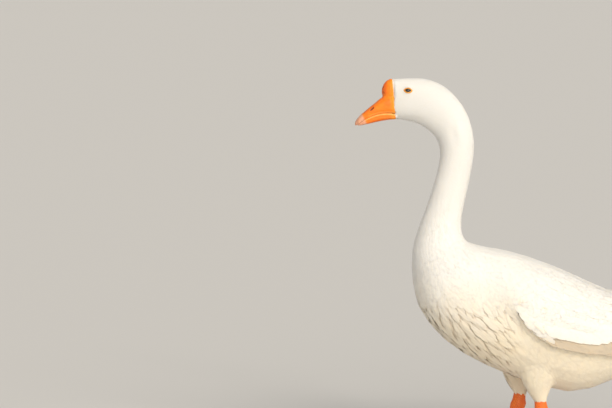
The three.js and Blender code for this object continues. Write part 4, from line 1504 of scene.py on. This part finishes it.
def make_wing(plumage, side_name):
    """The folded wing's rows of long feathers, from the tip of the wing to the wrist."""
    hull = surface_round(f"wing_{side_name}")
    flow = wing_way(hull.co)
    hull.flow = unit(flow - hull.normal * dot(flow, hull.normal))
    side = SIDES[side_name]
    inner = -side  # the side of a feather's line that faces the back
    random = np.random.default_rng(21)
    long_vane = vane_shape(8, 16)

    def row(name, tips, length, width, dip, rise, steps, shape=FINE, painted_shade=0.0, **form):
        """A row of feathers from their tips forwards. dip is the turn of the roots downwards in degrees."""
        places, faces = on_side(hull, tips, side)
        strays = random.normal(0, 1.5 * DEGREE, len(tips))
        length = np.broadcast_to(length, len(tips)) * random.normal(1, 0.02, len(tips))
        line, ups = lay(hull, places, faces, length, side * dip * DEGREE + strays, steps, backwards=True)
        plumage.join(f"{name}_{side_name}", shape, line, ups, length, width, rise=[r * MM for r in rise],
                     skew=0.25 * inner, tone=tones(random, len(tips), painted_shade=painted_shade), **form)

    def blades(name, rows, width, climb, **form):
        """Long feathers round the wing's middle line, each rising by climb from its root to its tip."""
        x0, x1, turn0, turn1, tip = rows.T
        share = np.linspace(0, 1, 13)[:, None]
        line, ups = around(hull, x0 + (x1 - x0) * share, turn0 + (turn1 - turn0) * share, side)
        line, ups = line.transpose(1, 0, 2), ups.transpose(1, 0, 2)
        plumage.join(f"{name}_{side_name}", long_vane, line, ups, x1 - x0, width, rise=(tip - climb, tip),
                     tone=tones(random, len(rows)), **form)

    blades("primaries", PRIMARIES, 19 * MM, 1.4 * MM, narrow=0.5, blunt=0.9, camber=0.04, thick=0.5 * MM,
           fringe=0.004, skew=0.15 * inner)
    blades("tertials", TERTIALS, 32 * MM, 5 * MM, ease=1.5, blunt=0.55, camber=0.05, thick=0.5 * MM,
           fringe=0.01)
    tips = spaced(SECONDARY_TIPS, 12.5 * MM)
    length = np.interp(tips[:, 0], [0.02, 0.12], [0.070, 0.120])
    # The secondaries face down under the coverts' edge, so they are given painted shade.
    row("secondaries", tips, length, 25 * MM, 16, (-4.4, -2.4), 10, long_vane, painted_shade=0.9, blunt=0.45,
        tilt=-0.10 * inner, camber=0.03, thick=0.5 * MM, fringe=0.006)
    tips = spaced(GREATER_TIPS, 15 * MM)
    length = np.interp(tips[:, 0], [0.0, 0.03, 0.08], [0.026, 0.042, 0.058])
    width = np.interp(tips[:, 0], [0.0, 0.05], [0.018, 0.025])
    row("greater_coverts", tips, length, width, 13, (-2.6, 0.2), 7, vane_shape(8, 9), tilt=-0.06 * inner,
        camber=0.05, fringe=0.015, blunt=0.5)
    tips = spaced(GREATER_TIPS + np.array([2 * MM, MEDIAN_RISE]), 11.5 * MM)
    length = np.interp(tips[:, 0], [0.0, 0.05], [0.024, 0.042])
    width = np.interp(tips[:, 0], [0.0, 0.05], [0.014, 0.020])
    row("median_coverts", tips, length, width, 10, (-2.4, -0.5), 6, camber=0.04, fringe=0.03, blunt=0.5)
    # The alula and the wrist feathers are given a little painted shade.
    row("alula", ALULA_TIPS, np.array([26, 32, 37, 40]) * MM, 9 * MM, -4, (-1.6, 0.9), 6, painted_shade=0.12,
        camber=0.08, tilt=-0.25 * inner, blunt=0.8, fringe=0.01)
    row("wrist", WRIST_TIPS, 15 * MM, 6.5 * MM, 8, (-1.5, 0.2), 5, painted_shade=0.2, camber=0.10,
        tip_lift=0.8 * MM, fringe=0.08)


# ---------- the tail ----------
# The tail's fan: its middle line and how wide and thick it is: [x, z, half width, half height].
FAN = np.array([[196, 230, 34, 20], [235, 238, 42, 11], [270, 247, 52, 6.5], [298, 254, 57, 4],
                [317.5, 259.5, 40, 1.5]]) * MM
FAN_Z = 245 * MM
FAN_LEVEL = 0.75  # no covert grows where the fan's surface is steeper than this upward part of its normal
COVERTS_START = 214 * MM
TAIL_ROOT = np.array([120, 0, 215]) * MM  # where the tail's feathers point away from
TAIL_FEATHERS = 18
TAIL_LENGTH = 109 * MM
TAIL_SHORTER = 16 * MM  # by which the outermost feathers are shorter
TAIL_START_X = 205 * MM
TAIL_START_HALF = 14 * MM  # half the width of the row of their roots
TAIL_TURN = math.radians(20)  # the outermost feathers' turn outwards


def make_tail(plumage):
    """The tail's fan, from the outermost feathers below to the middle ones on top."""
    random = np.random.default_rng(31)
    share = np.linspace(-1, 1, TAIL_FEATHERS)
    share = share[np.argsort(-np.abs(share))]
    turn = TAIL_TURN * share
    length = (TAIL_LENGTH - TAIL_SHORTER * np.abs(share) ** 2.2) * random.normal(1, 0.008, TAIL_FEATHERS)
    line = []
    for v in np.linspace(0, 1, 9):
        x = TAIL_START_X + length * v * np.cos(turn)
        y = TAIL_START_HALF * share + length * v * np.sin(turn)
        z, half, tall = (np.interp(x, FAN[:, 0], FAN[:, k]) for k in (1, 2, 3))
        rise = tall * (0.55 - np.abs(y) / half)
        line.append(np.stack([x, y, z + rise], 1))
    line = np.stack(line, 1)
    ups = np.zeros_like(line)
    ups[:, :, 2] = 1
    ups[:, :, 1] = 0.25 * share[:, None]
    layer = np.linspace(-1, 0, TAIL_FEATHERS) * MM
    plumage.join("tail_feathers", vane_shape(8, 14), line, unit(ups), length, 19 * MM, rise=(layer, layer),
                 blunt=0.6, camber=0.05, thick=0.7 * MM, fringe=0.008, tone=tones(random, TAIL_FEATHERS))


def make_tail_coverts(plumage):
    """The feathers over and under the root of the tail's fan."""
    hull = surface_round("tail")
    hull.flow = unit(hull.co - TAIL_ROOT)
    hull.flow = unit(hull.flow - hull.normal * dot(hull.flow, hull.normal))
    random = np.random.default_rng(33)
    for name, up, last_x in (("upper", 1, 284 * MM), ("under", -1, 262 * MM)):
        spots = []
        for x in np.arange(COVERTS_START, last_x, 8.5 * MM):
            half = np.interp(x, FAN[:, 0], FAN[:, 2]) * 0.93
            spots += [(x, y) for y in np.linspace(-half, half, int(2 * half / (10 * MM)))]
        spots = np.array(spots) + random.normal(0, 1.5 * MM, (len(spots), 2))
        hits = [hull.bvh.ray_cast((x, y, FAN_Z + up * 0.1), (0, 0, -up)) for x, y in spots.tolist()]
        hits = [hit for hit in hits if hit[0] is not None and abs(hit[1].z) > FAN_LEVEL]
        places, faces = np.array([tuple(h[0]) for h in hits]), np.array([h[2] for h in hits])
        length = np.interp(places[:, 0], [0.206, 0.285], [30 * MM, 18 * MM])
        line, ups = lay(hull, places, faces, length, random.normal(0, 0.05, len(places)), 5)
        tone = tones(random, len(places), on_wing=float(up > 0))
        tip = np.interp(places[:, 0], [0.250, 0.275], [1.5 * MM, -3 * MM])
        plumage.join(f"tail_coverts_{name}", FINE, line, ups, length, 15 * MM, rise=(0.2 * MM, tip),
                     thick=0.25 * MM, camber=0.04, fringe=0.05, tone=tone)


# ---------- the bird ----------
make_camera()
make_floor()
make_lights()
plumage_colour()
vane_relief()
horny_skin()
plumage_material("skin", False)
plumage_material("plumage", True)
bill_material()
lids_material()
leg_material()
claw_material()
eye_material()

skin, skin_surface, outer = make_skin()
finish_piece(skin, "skin", FLESH)
make_upper_bill(outer)
make_lower_bill(outer)
for side_name in SIDES:
    make_eyeball(side_name)
    make_lids(side_name, skin_surface)
    make_leg(side_name)
    for toe in TOES:
        make_claw(side_name, toe)
plumage = make_coat(skin_surface)
for side_name in SIDES:
    make_wing(plumage, side_name)
make_tail(plumage)
make_tail_coverts(plumage)
